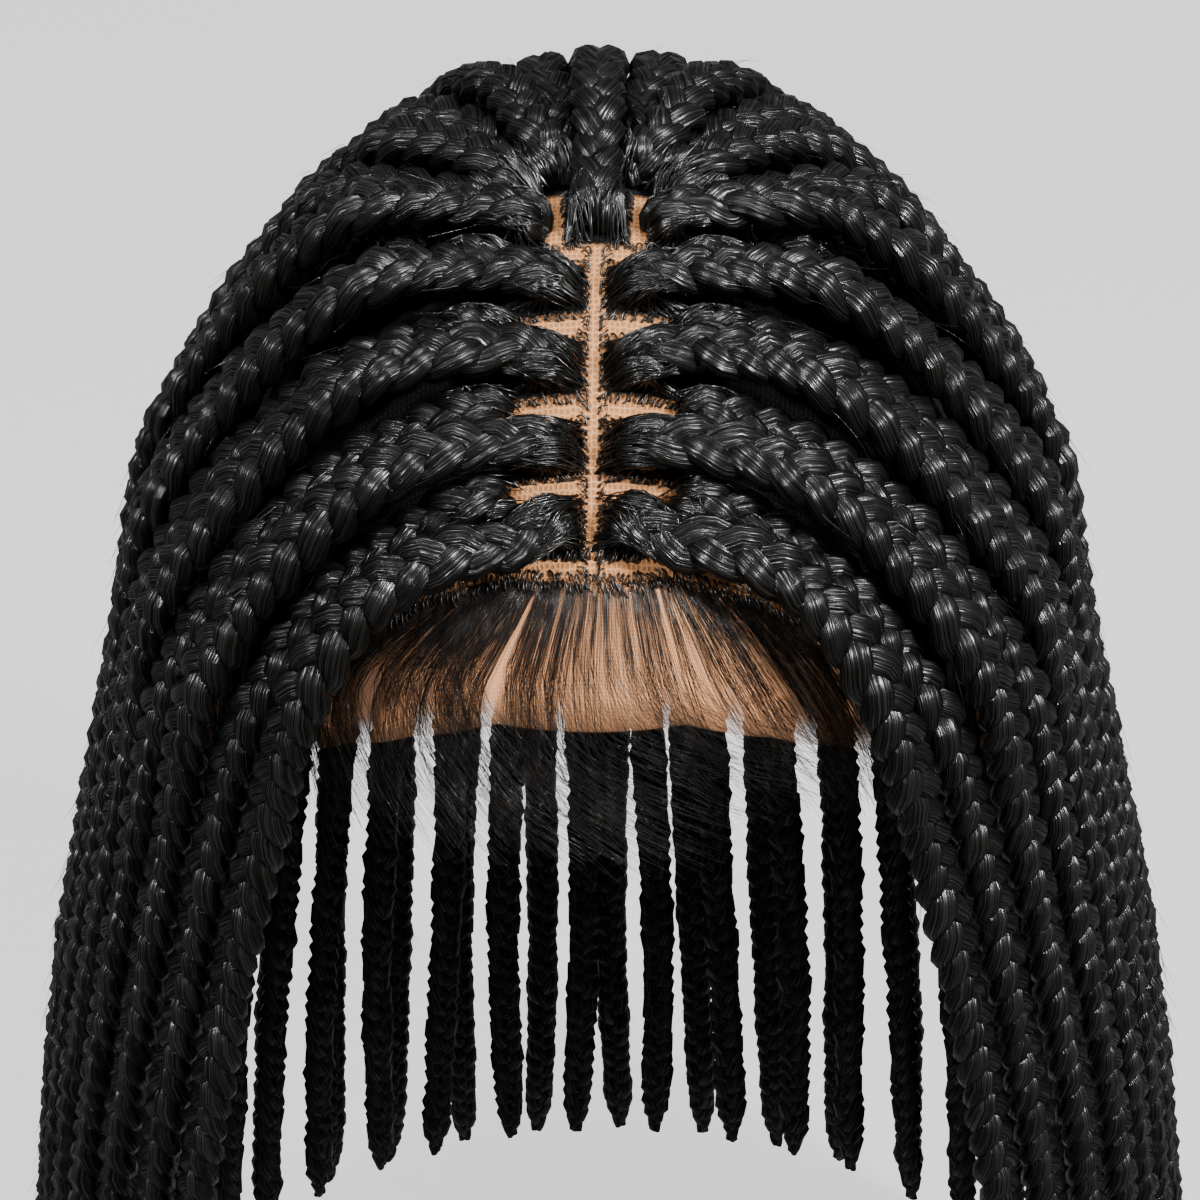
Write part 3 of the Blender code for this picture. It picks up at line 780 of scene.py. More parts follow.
class TreeBuilder:
    """Adds nodes to one node tree and links them."""

    def __init__(self, tree: NodeTree) -> None:
        """Build in the given tree."""
        self.tree = tree

    def feed(self, socket: NodeSocket, value: object) -> None:
        """Link a socket to another one, or set its value."""
        if isinstance(value, NodeSocket):
            self.tree.links.new(value, socket)
        else:
            socket.default_value = value

    def add(self, kind: str, feeds: dict | None = None, **settings: object) -> Node:
        """Add one node.

        Args:
            kind: Type of the node.
            feeds: Values or sockets for its inputs, by name or number.
            **settings: Properties of the node.

        Returns:
            The node.
        """
        node = self.tree.nodes.new(kind)
        for name, value in settings.items():
            setattr(node, name, value)
        for key, value in (feeds or {}).items():
            self.feed(node.inputs[key], value)
        return node

    def maths(self, operation: str, first: object, second: object = 0.0, third: object = 0.0) -> NodeSocket:
        """Result of one arithmetic step on numbers."""
        node = self.add("ShaderNodeMath", {0: first, 1: second, 2: third}, operation=operation)
        return node.outputs[0]

    def times(self, first: object, second: object) -> NodeSocket:
        """Product of two numbers."""
        return self.maths("MULTIPLY", first, second)

    def plus(self, first: object, second: object) -> NodeSocket:
        """Sum of two numbers."""
        return self.maths("ADD", first, second)

    def rest(self, share: object) -> NodeSocket:
        """What a share leaves of 1."""
        return self.maths("SUBTRACT", 1.0, share)

    def vector(self, operation: str, first: object, second: object = (0.0, 0.0, 0.0)) -> NodeSocket:
        """Result of one arithmetic step on vectors."""
        node = self.add("ShaderNodeVectorMath", {0: first, 1: second}, operation=operation)
        return node.outputs["Value"] if operation == "DOT_PRODUCT" else node.outputs[0]

    def scaled(self, first: object, factor: object) -> NodeSocket:
        """Vector times a number."""
        node = self.add("ShaderNodeVectorMath", {0: first, "Scale": factor}, operation="SCALE")
        return node.outputs[0]

    def parts(self, vector: object) -> bpy.types.NodeOutputs:
        """The three numbers of a vector."""
        return self.add("ShaderNodeSeparateXYZ", {0: vector}).outputs

    def whole(self, *numbers: object) -> NodeSocket:
        """Vector of three numbers."""
        return self.add("ShaderNodeCombineXYZ", dict(enumerate(numbers))).outputs[0]

    def attribute(self, name: str, kind: str = "FLOAT") -> NodeSocket:
        """Named attribute of the geometry."""
        node = self.add("GeometryNodeInputNamedAttribute", {"Name": name}, data_type=kind)
        return node.outputs["Attribute"]

    def stored(self, geometry: object, name: str, value: object, kind: str = "FLOAT") -> NodeSocket:
        """Geometry with one more named attribute on its points."""
        node = self.add("GeometryNodeStoreNamedAttribute", data_type=kind, domain="POINT")
        self.feed(node.inputs["Geometry"], geometry)
        self.feed(node.inputs["Name"], name)
        self.feed(node.inputs["Value"], value)
        return node.outputs["Geometry"]


class GeometryTree:
    """A Geometry Nodes tree with named inputs, used as a modifier.

    Attributes:
        tree: The node tree.
        build: Builder for its nodes.
        inlet: Its group input node.
    """

    def __init__(self, name: str, counts: tuple[str, ...], numbers: tuple[str, ...]) -> None:
        """Start a tree with a geometry and a material input.

        Args:
            name: Name of the tree.
            counts: Names of the inputs that are whole numbers.
            numbers: Names of the inputs that are other numbers.
        """
        self.tree = bpy.data.node_groups.new(name, "GeometryNodeTree")
        inputs = {"Geometry": "NodeSocketGeometry", "Material": "NodeSocketMaterial"}
        inputs |= dict.fromkeys(counts, "NodeSocketInt") | dict.fromkeys(numbers, NUMBER_SOCKET)
        add_sockets(self.tree, "INPUT", inputs)
        add_sockets(self.tree, "OUTPUT", {"Geometry": "NodeSocketGeometry"})
        self.build = TreeBuilder(self.tree)
        self.inlet = self.build.add("NodeGroupInput")

    def entry(self, label: str) -> NodeSocket:
        """Socket of one input inside the tree."""
        return self.inlet.outputs[label]

    def circle(self) -> NodeSocket:
        """Outline of radius 1 with as many sides as the inputs ask for."""
        feeds = {"Resolution": self.entry("Sides"), "Radius": 1.0}
        return self.build.add("GeometryNodeCurvePrimitiveCircle", feeds, mode="RADIUS").outputs[0]

    def tube(self, curve: NodeSocket, profile: NodeSocket, radius: NodeSocket) -> NodeSocket:
        """Closed tube along a curve."""
        feeds = {"Curve": curve, "Profile Curve": profile, "Scale": radius, "Fill Caps": True}
        return self.build.add("GeometryNodeCurveToMesh", feeds).outputs[0]

    def close(self, geometry: NodeSocket) -> None:
        """End the tree: real meshes, smooth faces and the material."""
        real = self.build.add("GeometryNodeRealizeInstances", {"Geometry": geometry})
        smooth = self.build.add("GeometryNodeSetShadeSmooth", {0: real.outputs[0], "Shade Smooth": True})
        dressed = self.build.add(
            "GeometryNodeSetMaterial", {"Geometry": smooth.outputs[0], "Material": self.entry("Material")}
        )
        outlet = self.build.add("NodeGroupOutput")
        self.build.feed(outlet.inputs[0], dressed.outputs[0])

    def grow(self, base: Object, name: str, values: dict[str, object]) -> Object:
        """Run the tree on an object and keep the result as a plain mesh.

        Args:
            base: Object with the threads that the tree reads; it is removed.
            name: Name of the piece.
            values: Value of each named input.

        Returns:
            The new object.
        """
        modifier = base.modifiers.new("grow", "NODES")
        modifier.node_group = self.tree
        for item in self.tree.interface.items_tree:
            if item.item_type == "SOCKET" and item.in_out == "INPUT" and item.name in values:
                modifier[item.identifier] = values[item.name]
        graph = bpy.context.evaluated_depsgraph_get()
        mesh = bpy.data.meshes.new_from_object(base.evaluated_get(graph), depsgraph=graph)
        mesh.name = name
        old = base.data
        bpy.data.objects.remove(base)
        bpy.data.meshes.remove(old)
        if not mesh.materials:
            mesh.materials.append(values["Material"])
        return placed(name, mesh)


def thread_object(name: str, lines: Array, attributes: dict[str, Array]) -> Object:
    """Object of threads: chains of edges with values on their points.

    Args:
        name: Name of the object.
        lines: Points, as threads by points by coordinates.
        attributes: Values on the points, by name: one number or three for each.

    Returns:
        The object.
    """
    count, steps, _ = lines.shape
    mesh = bpy.data.meshes.new(name)
    starts = (np.arange(count)[:, None] * steps + np.arange(steps - 1)[None, :]).reshape(-1)
    mesh.vertices.add(count * steps)
    mesh.vertices.foreach_set("co", lines.reshape(-1).astype(np.float32))
    mesh.edges.add(len(starts))
    mesh.edges.foreach_set("vertices", np.stack([starts, starts + 1], axis=-1).reshape(-1).astype(np.int32))
    for label, values in attributes.items():
        values = np.asarray(values, dtype=np.float32)
        if values.size == count * steps:
            layer = mesh.attributes.new(label, "FLOAT", "POINT")
            layer.data.foreach_set("value", values.reshape(-1))
        else:
            layer = mesh.attributes.new(label, "FLOAT_VECTOR", "POINT")
            layer.data.foreach_set("vector", values.reshape(-1))
    mesh.update()
    return placed(name, mesh)


class PlaitTree(GeometryTree):
    """Plaits three plump strands along each thread.

    The thread carries the outward direction, the width of the braid and the turn of the plait. A strand
    swings from side to side once a turn and rises and falls twice, so it goes over one neighbour and
    under the other.

    Attributes:
        fibre_offset: How much further along the fibres of the next strand start.
    """

    fibre_offset = 0.37

    def __init__(self) -> None:
        """Build the tree."""
        super().__init__(
            "three_strand_plait",
            ("Rings", "Sides"),
            ("Swing Share", "Rise Share", "Strand Share", "Strand Flatness"),
        )
        build = self.build
        thread = build.add("GeometryNodeMeshToCurve", {"Mesh": self.entry("Geometry")})
        feeds = {"Curve": thread.outputs[0], "Count": self.entry("Rings")}
        even = build.add("GeometryNodeResampleCurve", feeds, mode="COUNT")
        tangent = build.add("GeometryNodeInputTangent").outputs[0]
        outward = build.attribute("outward", "FLOAT_VECTOR")
        sideways = build.vector("NORMALIZE", build.vector("CROSS_PRODUCT", tangent, outward))
        above = build.vector("NORMALIZE", build.vector("CROSS_PRODUCT", sideways, tangent))
        framed = build.stored(even.outputs[0], "sideways", sideways, "FLOAT_VECTOR")
        framed = build.stored(framed, "above", above, "FLOAT_VECTOR")
        profile = self.profile()
        join = build.add("GeometryNodeJoinGeometry")
        for strand in range(3):
            build.feed(join.inputs[0], self.strand(framed, profile, strand))
        self.close(join.outputs[0])

    def profile(self) -> NodeSocket:
        """Oval outline of one strand, with its place round the strand stored on it."""
        build = self.build
        place = build.add("GeometryNodeInputPosition").outputs[0]
        marked = build.stored(self.circle(), "round", place, "FLOAT_VECTOR")
        size = build.whole(self.entry("Strand Flatness"), 1.0, 1.0)
        oval = build.add("GeometryNodeTransform", {"Geometry": marked, "Scale": size})
        return oval.outputs[0]

    def strand(self, framed: NodeSocket, profile: NodeSocket, number: int) -> NodeSocket:
        """One strand of the plait.

        Args:
            framed: Thread with its directions.
            profile: Outline of the strand.
            number: 0, 1 or 2, a third of a turn apart.

        Returns:
            The mesh of the strand.
        """
        build = self.build
        width = build.attribute("width")
        turn = build.plus(build.attribute("phase"), TURN * number / 3.0)
        swing = build.times(build.maths("SINE", turn), self.entry("Swing Share"))
        twice = build.maths("SINE", build.times(turn, 2.0))
        rise = build.times(twice, self.entry("Rise Share"))
        side_part = build.scaled(build.attribute("sideways", "FLOAT_VECTOR"), swing)
        up_part = build.scaled(build.attribute("above", "FLOAT_VECTOR"), rise)
        shift = build.scaled(build.vector("ADD", side_part, up_part), width)
        moved = build.add("GeometryNodeSetPosition", {"Geometry": framed, "Offset": shift})
        tangent = build.add("GeometryNodeInputTangent").outputs[0]
        above = build.attribute("above", "FLOAT_VECTOR")
        lean = build.scaled(tangent, build.vector("DOT_PRODUCT", above, tangent))
        normal = build.vector("NORMALIZE", build.vector("SUBTRACT", above, lean))
        feeds = {"Curve": moved.outputs[0], "Normal": normal}
        turned = build.add("GeometryNodeSetCurveNormal", feeds, mode="FREE")
        length = build.add("GeometryNodeSplineParameter").outputs["Length"]
        marked = build.stored(turned.outputs[0], "along", build.plus(length, self.fibre_offset * number))
        radius = build.times(width, self.entry("Strand Share"))
        tube = self.tube(marked, profile, radius)
        split = build.parts(build.attribute("round", "FLOAT_VECTOR"))
        fibre = build.whole(split[0], split[1], build.attribute("along"))
        mesh = build.stored(tube, "fibre", fibre, "FLOAT_VECTOR")
        for spare in ("round", "along", "above", "sideways", "outward", "width", "phase"):
            mesh = build.add("GeometryNodeRemoveAttribute", {"Geometry": mesh, "Name": spare}).outputs[0]
        return mesh


class HairTree(GeometryTree):
    """Sweeps single hairs along threads, wavy and thinner towards the tip."""

    def __init__(self) -> None:
        """Build the tree."""
        super().__init__(
            "single_hairs",
            ("Sides",),
            ("Thickness", "Tip Share", "Waviness", "Waves Per Metre", "Seed"),
        )
        build = self.build
        thread = build.add("GeometryNodeMeshToCurve", {"Mesh": self.entry("Geometry")})
        grow = build.attribute("grow")
        noise = build.add(
            "ShaderNodeTexNoise",
            {"W": self.entry("Seed"), "Scale": self.entry("Waves Per Metre"), "Detail": 1.0},
            noise_dimensions="4D",
        )
        centred = build.vector("SUBTRACT", noise.outputs["Color"], (0.5, 0.5, 0.5))
        reach = build.times(self.entry("Waviness"), grow)
        moved = build.add(
            "GeometryNodeSetPosition", {"Geometry": thread.outputs[0], "Offset": build.scaled(centred, reach)}
        )
        thinning = build.times(grow, build.rest(self.entry("Tip Share")))
        radius = build.times(build.rest(thinning), self.entry("Thickness"))
        radius = build.times(radius, 0.5)
        tube = self.tube(moved.outputs[0], self.circle(), radius)
        mesh = build.add("GeometryNodeRemoveAttribute", {"Geometry": tube, "Name": "grow"})
        self.close(mesh.outputs[0])


class ShaderBuilder(TreeBuilder):
    """Adds shader nodes to a material or a shader group."""

    def noise(self, place: object, scale: float, detail: float = 2.0) -> NodeSocket:
        """Noise value at a place."""
        node = self.add("ShaderNodeTexNoise", {"Vector": place, "Scale": scale, "Detail": detail})
        return node.outputs["Fac"]

    def ramp(self, value: object, low: object, high: object) -> NodeSocket:
        """0 below low, 1 above high and smooth between them."""
        node = self.add(
            "ShaderNodeMapRange",
            {"Value": value, "From Min": low, "From Max": high},
            interpolation_type="SMOOTHSTEP",
        )
        return node.outputs["Result"]

    def mix(self, share: object, first: object, second: object) -> NodeSocket:
        """Colour between two colours; sockets 6, 7 and 2 of the node are those for colours."""
        return self.add("ShaderNodeMix", {0: share, 6: first, 7: second}, data_type="RGBA").outputs[2]


def shader_group(
    name: str, inputs: dict[str, str], outputs: dict[str, str]
) -> tuple[NodeTree, ShaderBuilder, Node, Node]:
    """Start a shader group.

    Args:
        name: Name of the group.
        inputs: Socket type of each input, by name.
        outputs: Socket type of each output, by name.

    Returns:
        The group, its builder, and its input and output nodes.
    """
    tree = bpy.data.node_groups.new(name, "ShaderNodeTree")
    add_sockets(tree, "INPUT", inputs)
    add_sockets(tree, "OUTPUT", outputs)
    build = ShaderBuilder(tree)
    return tree, build, build.add("NodeGroupInput"), build.add("NodeGroupOutput")


def fibre_group() -> NodeTree:
    """Shader group of combed fibres that run along a strand.

    Returns:
        A group that turns a place on the strand into a streak height, a shade that is dark where the
        streaks lie low and light where they lie high, and a gloss mask; where the height also feeds a
        bump, the shade is painted shade in the grooves and painted light on the raised fibres.
    """
    tree, build, inlet, outlet = shader_group(
        "combed_fibres",
        {"Place": VECTOR_SOCKET, "Fibres Round": NUMBER_SOCKET, "Fibres Along": NUMBER_SOCKET},
        {"Height": NUMBER_SOCKET, "Shade": NUMBER_SOCKET, "Gloss": NUMBER_SOCKET},
    )
    drift_scale, drift_reach = 0.12, 5.0
    broad_scale, fine_scale = 0.55, 1.0
    groove_shade_span, gloss_span = (0.42, 0.62), (0.47, 0.60)
    split = build.parts(inlet.outputs["Place"])
    labels = ("Fibres Round", "Fibres Round", "Fibres Along")
    place = build.whole(*(build.times(part, inlet.outputs[label]) for part, label in zip(split, labels)))
    drift = build.add("ShaderNodeTexNoise", {"Vector": place, "Scale": drift_scale, "Detail": 0.0})
    place = build.vector("ADD", place, build.scaled(drift.outputs["Color"], drift_reach))
    broad = build.times(build.noise(place, broad_scale, 0.0), 0.5)
    height = build.plus(broad, build.times(build.noise(place, fine_scale, 0.0), 0.5))
    build.feed(outlet.inputs["Height"], height)
    # Painted shade in the low streaks and painted light on the high ones, wherever the height also shapes a
    # bump
    build.feed(outlet.inputs["Shade"], build.ramp(height, *groove_shade_span))
    build.feed(outlet.inputs["Gloss"], build.ramp(height, *gloss_span))
    return tree


def lace_group() -> NodeTree:
    """Shader group of a knitted lace net.

    Returns:
        A group that turns a place on the cloth into a thread mask and a height.
    """
    tree, build, inlet, outlet = shader_group(
        "lace_net",
        {"Place": VECTOR_SOCKET, "Cells Per Metre": NUMBER_SOCKET, "Thread": NUMBER_SOCKET},
        {"Thread Mask": NUMBER_SOCKET, "Height": NUMBER_SOCKET},
    )
    place, scale, thread = (inlet.outputs[label] for label in ("Place", "Cells Per Metre", "Thread"))
    unevenness, thread_core = 0.35, 0.04
    feeds = {"Vector": place, "Scale": scale, "Randomness": unevenness}
    cells = build.add(
        "ShaderNodeTexVoronoi", feeds, feature="DISTANCE_TO_EDGE", voronoi_dimensions="2D"
    )
    edge = cells.outputs["Distance"]
    mask = build.rest(build.ramp(edge, thread_core, thread))
    build.feed(outlet.inputs["Thread Mask"], mask)
    build.feed(outlet.inputs["Height"], edge)
    return tree


class Finish:
    """A material with one Principled shader."""

    def __init__(self, name: str) -> None:
        """Start the material."""
        self.material = bpy.data.materials.new(name)
        self.material.use_nodes = True
        self.build = ShaderBuilder(self.material.node_tree)
        self.shader = self.material.node_tree.nodes["Principled BSDF"]

    def set(self, **values: object) -> None:
        """Set or link sockets of the shader, with underscores for the spaces in their names."""
        for name, value in values.items():
            self.build.feed(self.shader.inputs[name.replace("_", " ")], value)

    def bump(self, height: object, strength: float, distance: float) -> None:
        """Feed a height into the normals of the shader and of its glossy top."""
        feeds = {"Height": height, "Strength": strength, "Distance": distance}
        node = self.build.add("ShaderNodeBump", feeds)
        for name in ("Normal", "Coat Normal"):
            self.build.feed(self.shader.inputs[name], node.outputs["Normal"])


class Place(Enum):
    """Where a finish reads its pattern from: the strands' own attribute, or the object's coordinates."""

    STRAND = "fibre"
    OBJECT = "Object"


@dataclass(frozen=True)
class HairFinish:
    """Black synthetic fibre.

    Attributes:
        name: Name of the material.
        dark: Colour between the fibres; with a bump, this is painted shade in the grooves.
        light: Colour of the fibres on top; with a bump, this is painted light on the raised fibres.
        rough: Roughness of the glossy fibres on top and of the others.
        shine: Reflection of the others and weight of the glossy fibres on top.
        place: Where the pattern is read from.
        fibres_round: Fibres round a strand, or across a metre.
        fibres_along: Streaks along a metre.
        bump: Strength of the relief.
        relief: Height of the relief.
    """

    name: str
    dark: tuple[float, float, float]
    light: tuple[float, float, float]
    rough: tuple[float, float]
    shine: tuple[float, float]
    place: Place
    fibres_round: float
    fibres_along: float
    bump: float
    relief: float = 0.0006

    def make(self, group: NodeTree) -> Material:
        """Make the material with the shared fibre group."""
        finish = Finish(self.name)
        build = finish.build
        if self.place is Place.STRAND:
            place = build.add("ShaderNodeAttribute", attribute_name=self.place.value).outputs["Vector"]
        else:
            place = build.add("ShaderNodeTexCoord").outputs[self.place.value]
        fibres = build.add("ShaderNodeGroup", node_tree=group)
        build.feed(fibres.inputs["Place"], place)
        build.feed(fibres.inputs["Fibres Round"], self.fibres_round)
        build.feed(fibres.inputs["Fibres Along"], self.fibres_along)
        # With a bump, painted shade between the fibres and painted light on the raised ones; without one,
        # random tone of the hairs
        colour = build.mix(fibres.outputs["Shade"], (*self.dark, 1.0), (*self.light, 1.0))
        finish.set(Base_Color=colour, Roughness=self.rough[1], Metallic=0.0, Specular_IOR_Level=self.shine[0])
        coat = build.times(fibres.outputs["Gloss"], self.shine[1])
        finish.set(Coat_Weight=coat, Coat_Roughness=self.rough[0])
        if self.bump > 0.0:
            finish.bump(fibres.outputs["Height"], self.bump, self.relief)
        return finish.material


@dataclass(frozen=True)
class LaceFinish:
    """Tan lace cloth.

    Attributes:
        name: Name of the material.
        thread: Colour of the threads.
        hollow: Colour between the threads, darker than them: painted shade in the holes of the net.
        hair: Colour where hair is knotted in.
        cells: Net cells along a metre.
        thread_width: Width of the threads as a share of a cell.
        sheer: Opacity between the threads; 1 for a cloth that hides what is behind it.
        parted: Whether the lace shows only along the partings, with hair knotted in elsewhere.
        fade_start: Where the lower edge of a sheer cloth starts to fade, as a share of its depth.
        edge_share: Share of the opacity that is left at that edge.
    """

    name: str
    thread: tuple[float, float, float]
    hollow: tuple[float, float, float]
    hair: tuple[float, float, float]
    cells: float
    thread_width: float
    sheer: float
    parted: bool
    fade_start: float = 0.72
    edge_share: float = 0.3

    def parting_mask(self, build: ShaderBuilder, place: NodeSocket) -> NodeSocket:
        """Mask of the bare lace.

        Args:
            build: Builder of the material.
            place: Place along the cap from its crown: sideways and back.

        Returns:
            1 on the partings and the hairline, 0 where hair is knotted in.
        """
        jag_scale, jag_reach = 900.0, 0.0016
        narrow_fade, fade, wide_fade = 0.001, 0.002, 0.003
        front_fade = 0.0004
        last = CROSS_PARTINGS[-1]
        split = build.parts(place)
        side, back = build.maths("ABSOLUTE", split[0]), split[1]
        jag = build.maths("MULTIPLY_ADD", build.noise(place, jag_scale, 1.0), jag_reach, -0.5 * jag_reach)

        def band(offset: NodeSocket, half_width: float, inner: float, outer: float) -> NodeSocket:
            """1 within a ragged band round offset 0, between shares of its half width."""
            ragged = build.plus(offset, jag)
            return build.rest(build.ramp(ragged, inner * half_width, outer * half_width))

        def distance(value: NodeSocket, line: object) -> NodeSocket:
            """How far a value is from a line."""
            return build.maths("ABSOLUTE", build.maths("SUBTRACT", value, line))

        ahead = build.rest(build.ramp(back, last, last + wide_fade))
        mask = build.times(band(side, PARTING_HALF_WIDTH, 0.8, 1.25), ahead)
        near = build.rest(build.ramp(side, CROSS_REACH - fade, CROSS_REACH + narrow_fade))
        for row in CROSS_PARTINGS:
            line = build.times(band(distance(back, row), CROSS_HALF_WIDTH, 0.75, 1.3), near)
            mask = build.maths("MAXIMUM", mask, line)
        middle = build.maths("MULTIPLY_ADD", back, FORK_LEAN, float(fork_side(0.0)))
        starts = build.ramp(back, last - narrow_fade, last)
        ends = build.rest(build.ramp(back, FORK_END - fade, FORK_END))
        fork = build.times(band(distance(side, middle), FORK_HALF_WIDTH, 0.8, 1.2), build.times(starts, ends))
        mask = build.maths("MAXIMUM", mask, fork)
        edge = build.plus(split[2], jag)
        front = build.ramp(edge, -HAIRLINE_STRIP - front_fade, -HAIRLINE_STRIP + front_fade)
        return build.maths("MAXIMUM", mask, front)

    def make(self, group: NodeTree) -> Material:
        """Make the material with the shared net group."""
        finish = Finish(self.name)
        build = finish.build
        place = build.add("ShaderNodeAttribute", attribute_name="cloth").outputs["Vector"]
        net = build.add("ShaderNodeGroup", node_tree=group)
        build.feed(net.inputs["Place"], place)
        build.feed(net.inputs["Cells Per Metre"], self.cells)
        build.feed(net.inputs["Thread"], self.thread_width)
        thread = net.outputs["Thread Mask"]
        # Darker between the threads: painted shade in the holes of the net
        colour = build.mix(thread, (*self.hollow, 1.0), (*self.thread, 1.0))
        if self.parted:
            mask = self.parting_mask(build, place)
            colour = build.mix(mask, (*self.hair, 1.0), colour)
        finish.set(Base_Color=colour, Roughness=0.8, Metallic=0.0, Specular_IOR_Level=0.12)
        if self.sheer < 1.0:
            alpha = build.maths("MULTIPLY_ADD", thread, 1.0 - self.sheer, self.sheer)
            fade = build.rest(build.ramp(build.parts(place)[2], self.fade_start, 1.0))
            left = build.maths("MULTIPLY_ADD", fade, 1.0 - self.edge_share, self.edge_share)
            finish.set(Alpha=build.times(alpha, left))
        finish.bump(thread, 0.5, 0.0003)
        return finish.material


@dataclass
class Palette:
    """The finishes of the wig."""

    braid: Material
    under: Material
    fine: Material
    baby: Material
    cap: Material
    front: Material

    @classmethod
    def make(cls) -> "Palette":
        """Make every finish from the shared shader groups."""
        fibres = fibre_group()
        net = lace_group()
        strand = {"place": Place.STRAND, "fibres_round": 28.0, "fibres_along": 100.0, "bump": 0.56}
        loose = {"place": Place.OBJECT, "fibres_round": 900.0, "fibres_along": 120.0, "bump": 0.0}
        black = (0.0006, 0.0006, 0.0005)
        soft_black = (0.0008, 0.0008, 0.0007)
        # On the plaited strands, which have a bump, each light colour is painted light on the raised fibres
        # and each dark one painted shade between them; on loose hair they are random tone
        hairs = (
            HairFinish(
                "braided_fibre",
                dark=black,
                light=(0.0024, 0.0024, 0.0021),
                rough=(0.24, 0.40),
                shine=(0.06, 0.90),
                **strand,
            ),
            # Darker, less glossy copy of braided_fibre for the braids under the outer layer: painted shade
            # where the outer braids cover them
            HairFinish(
                "shaded_fibre",
                dark=black,
                light=(0.0020, 0.0020, 0.0018),
                rough=(0.26, 0.45),
                shine=(0.04, 0.70),
                **strand,
            ),
            HairFinish(
                "loose_hair",
                dark=soft_black,
                light=(0.0030, 0.0028, 0.0025),
                rough=(0.22, 0.32),
                shine=(0.32, 1.0),
                **loose,
            ),
            HairFinish(
                "baby_hair_fibre",
                dark=(0.0020, 0.0016, 0.0013),
                light=(0.0060, 0.0046, 0.0036),
                rough=(0.25, 0.42),
                shine=(0.20, 0.60),
                **loose,
            ),
        )
        # Each hollow colour is darker than its thread colour: painted shade in the holes of the net
        laces = (
            LaceFinish(
                "knotted_lace",
                thread=(0.29, 0.134, 0.054),
                hollow=(0.160, 0.069, 0.027),
                hair=soft_black,
                cells=820.0,
                thread_width=0.30,
                sheer=1.0,
                parted=True,
            ),
            LaceFinish(
                "sheer_net",
                thread=(0.40, 0.200, 0.100),
                hollow=(0.32, 0.150, 0.072),
                hair=(0.0030, 0.0028, 0.0025),
                cells=1500.0,
                thread_width=0.16,
                sheer=0.86,
                parted=False,
            ),
        )
        made = [finish.make(fibres) for finish in hairs] + [finish.make(net) for finish in laces]
        return cls(*made)


def finished(piece: Object, nodes: tuple[str, ...] = ()) -> Object:
    """Put a piece on the body.

    Args:
        piece: The piece.
        nodes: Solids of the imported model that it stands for.

    Returns:
        The piece.
    """
    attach(piece, BODY)
    if nodes:
        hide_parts(*nodes)
    LOG.info("%s: %d faces", piece.name, len(piece.data.polygons))
    return piece


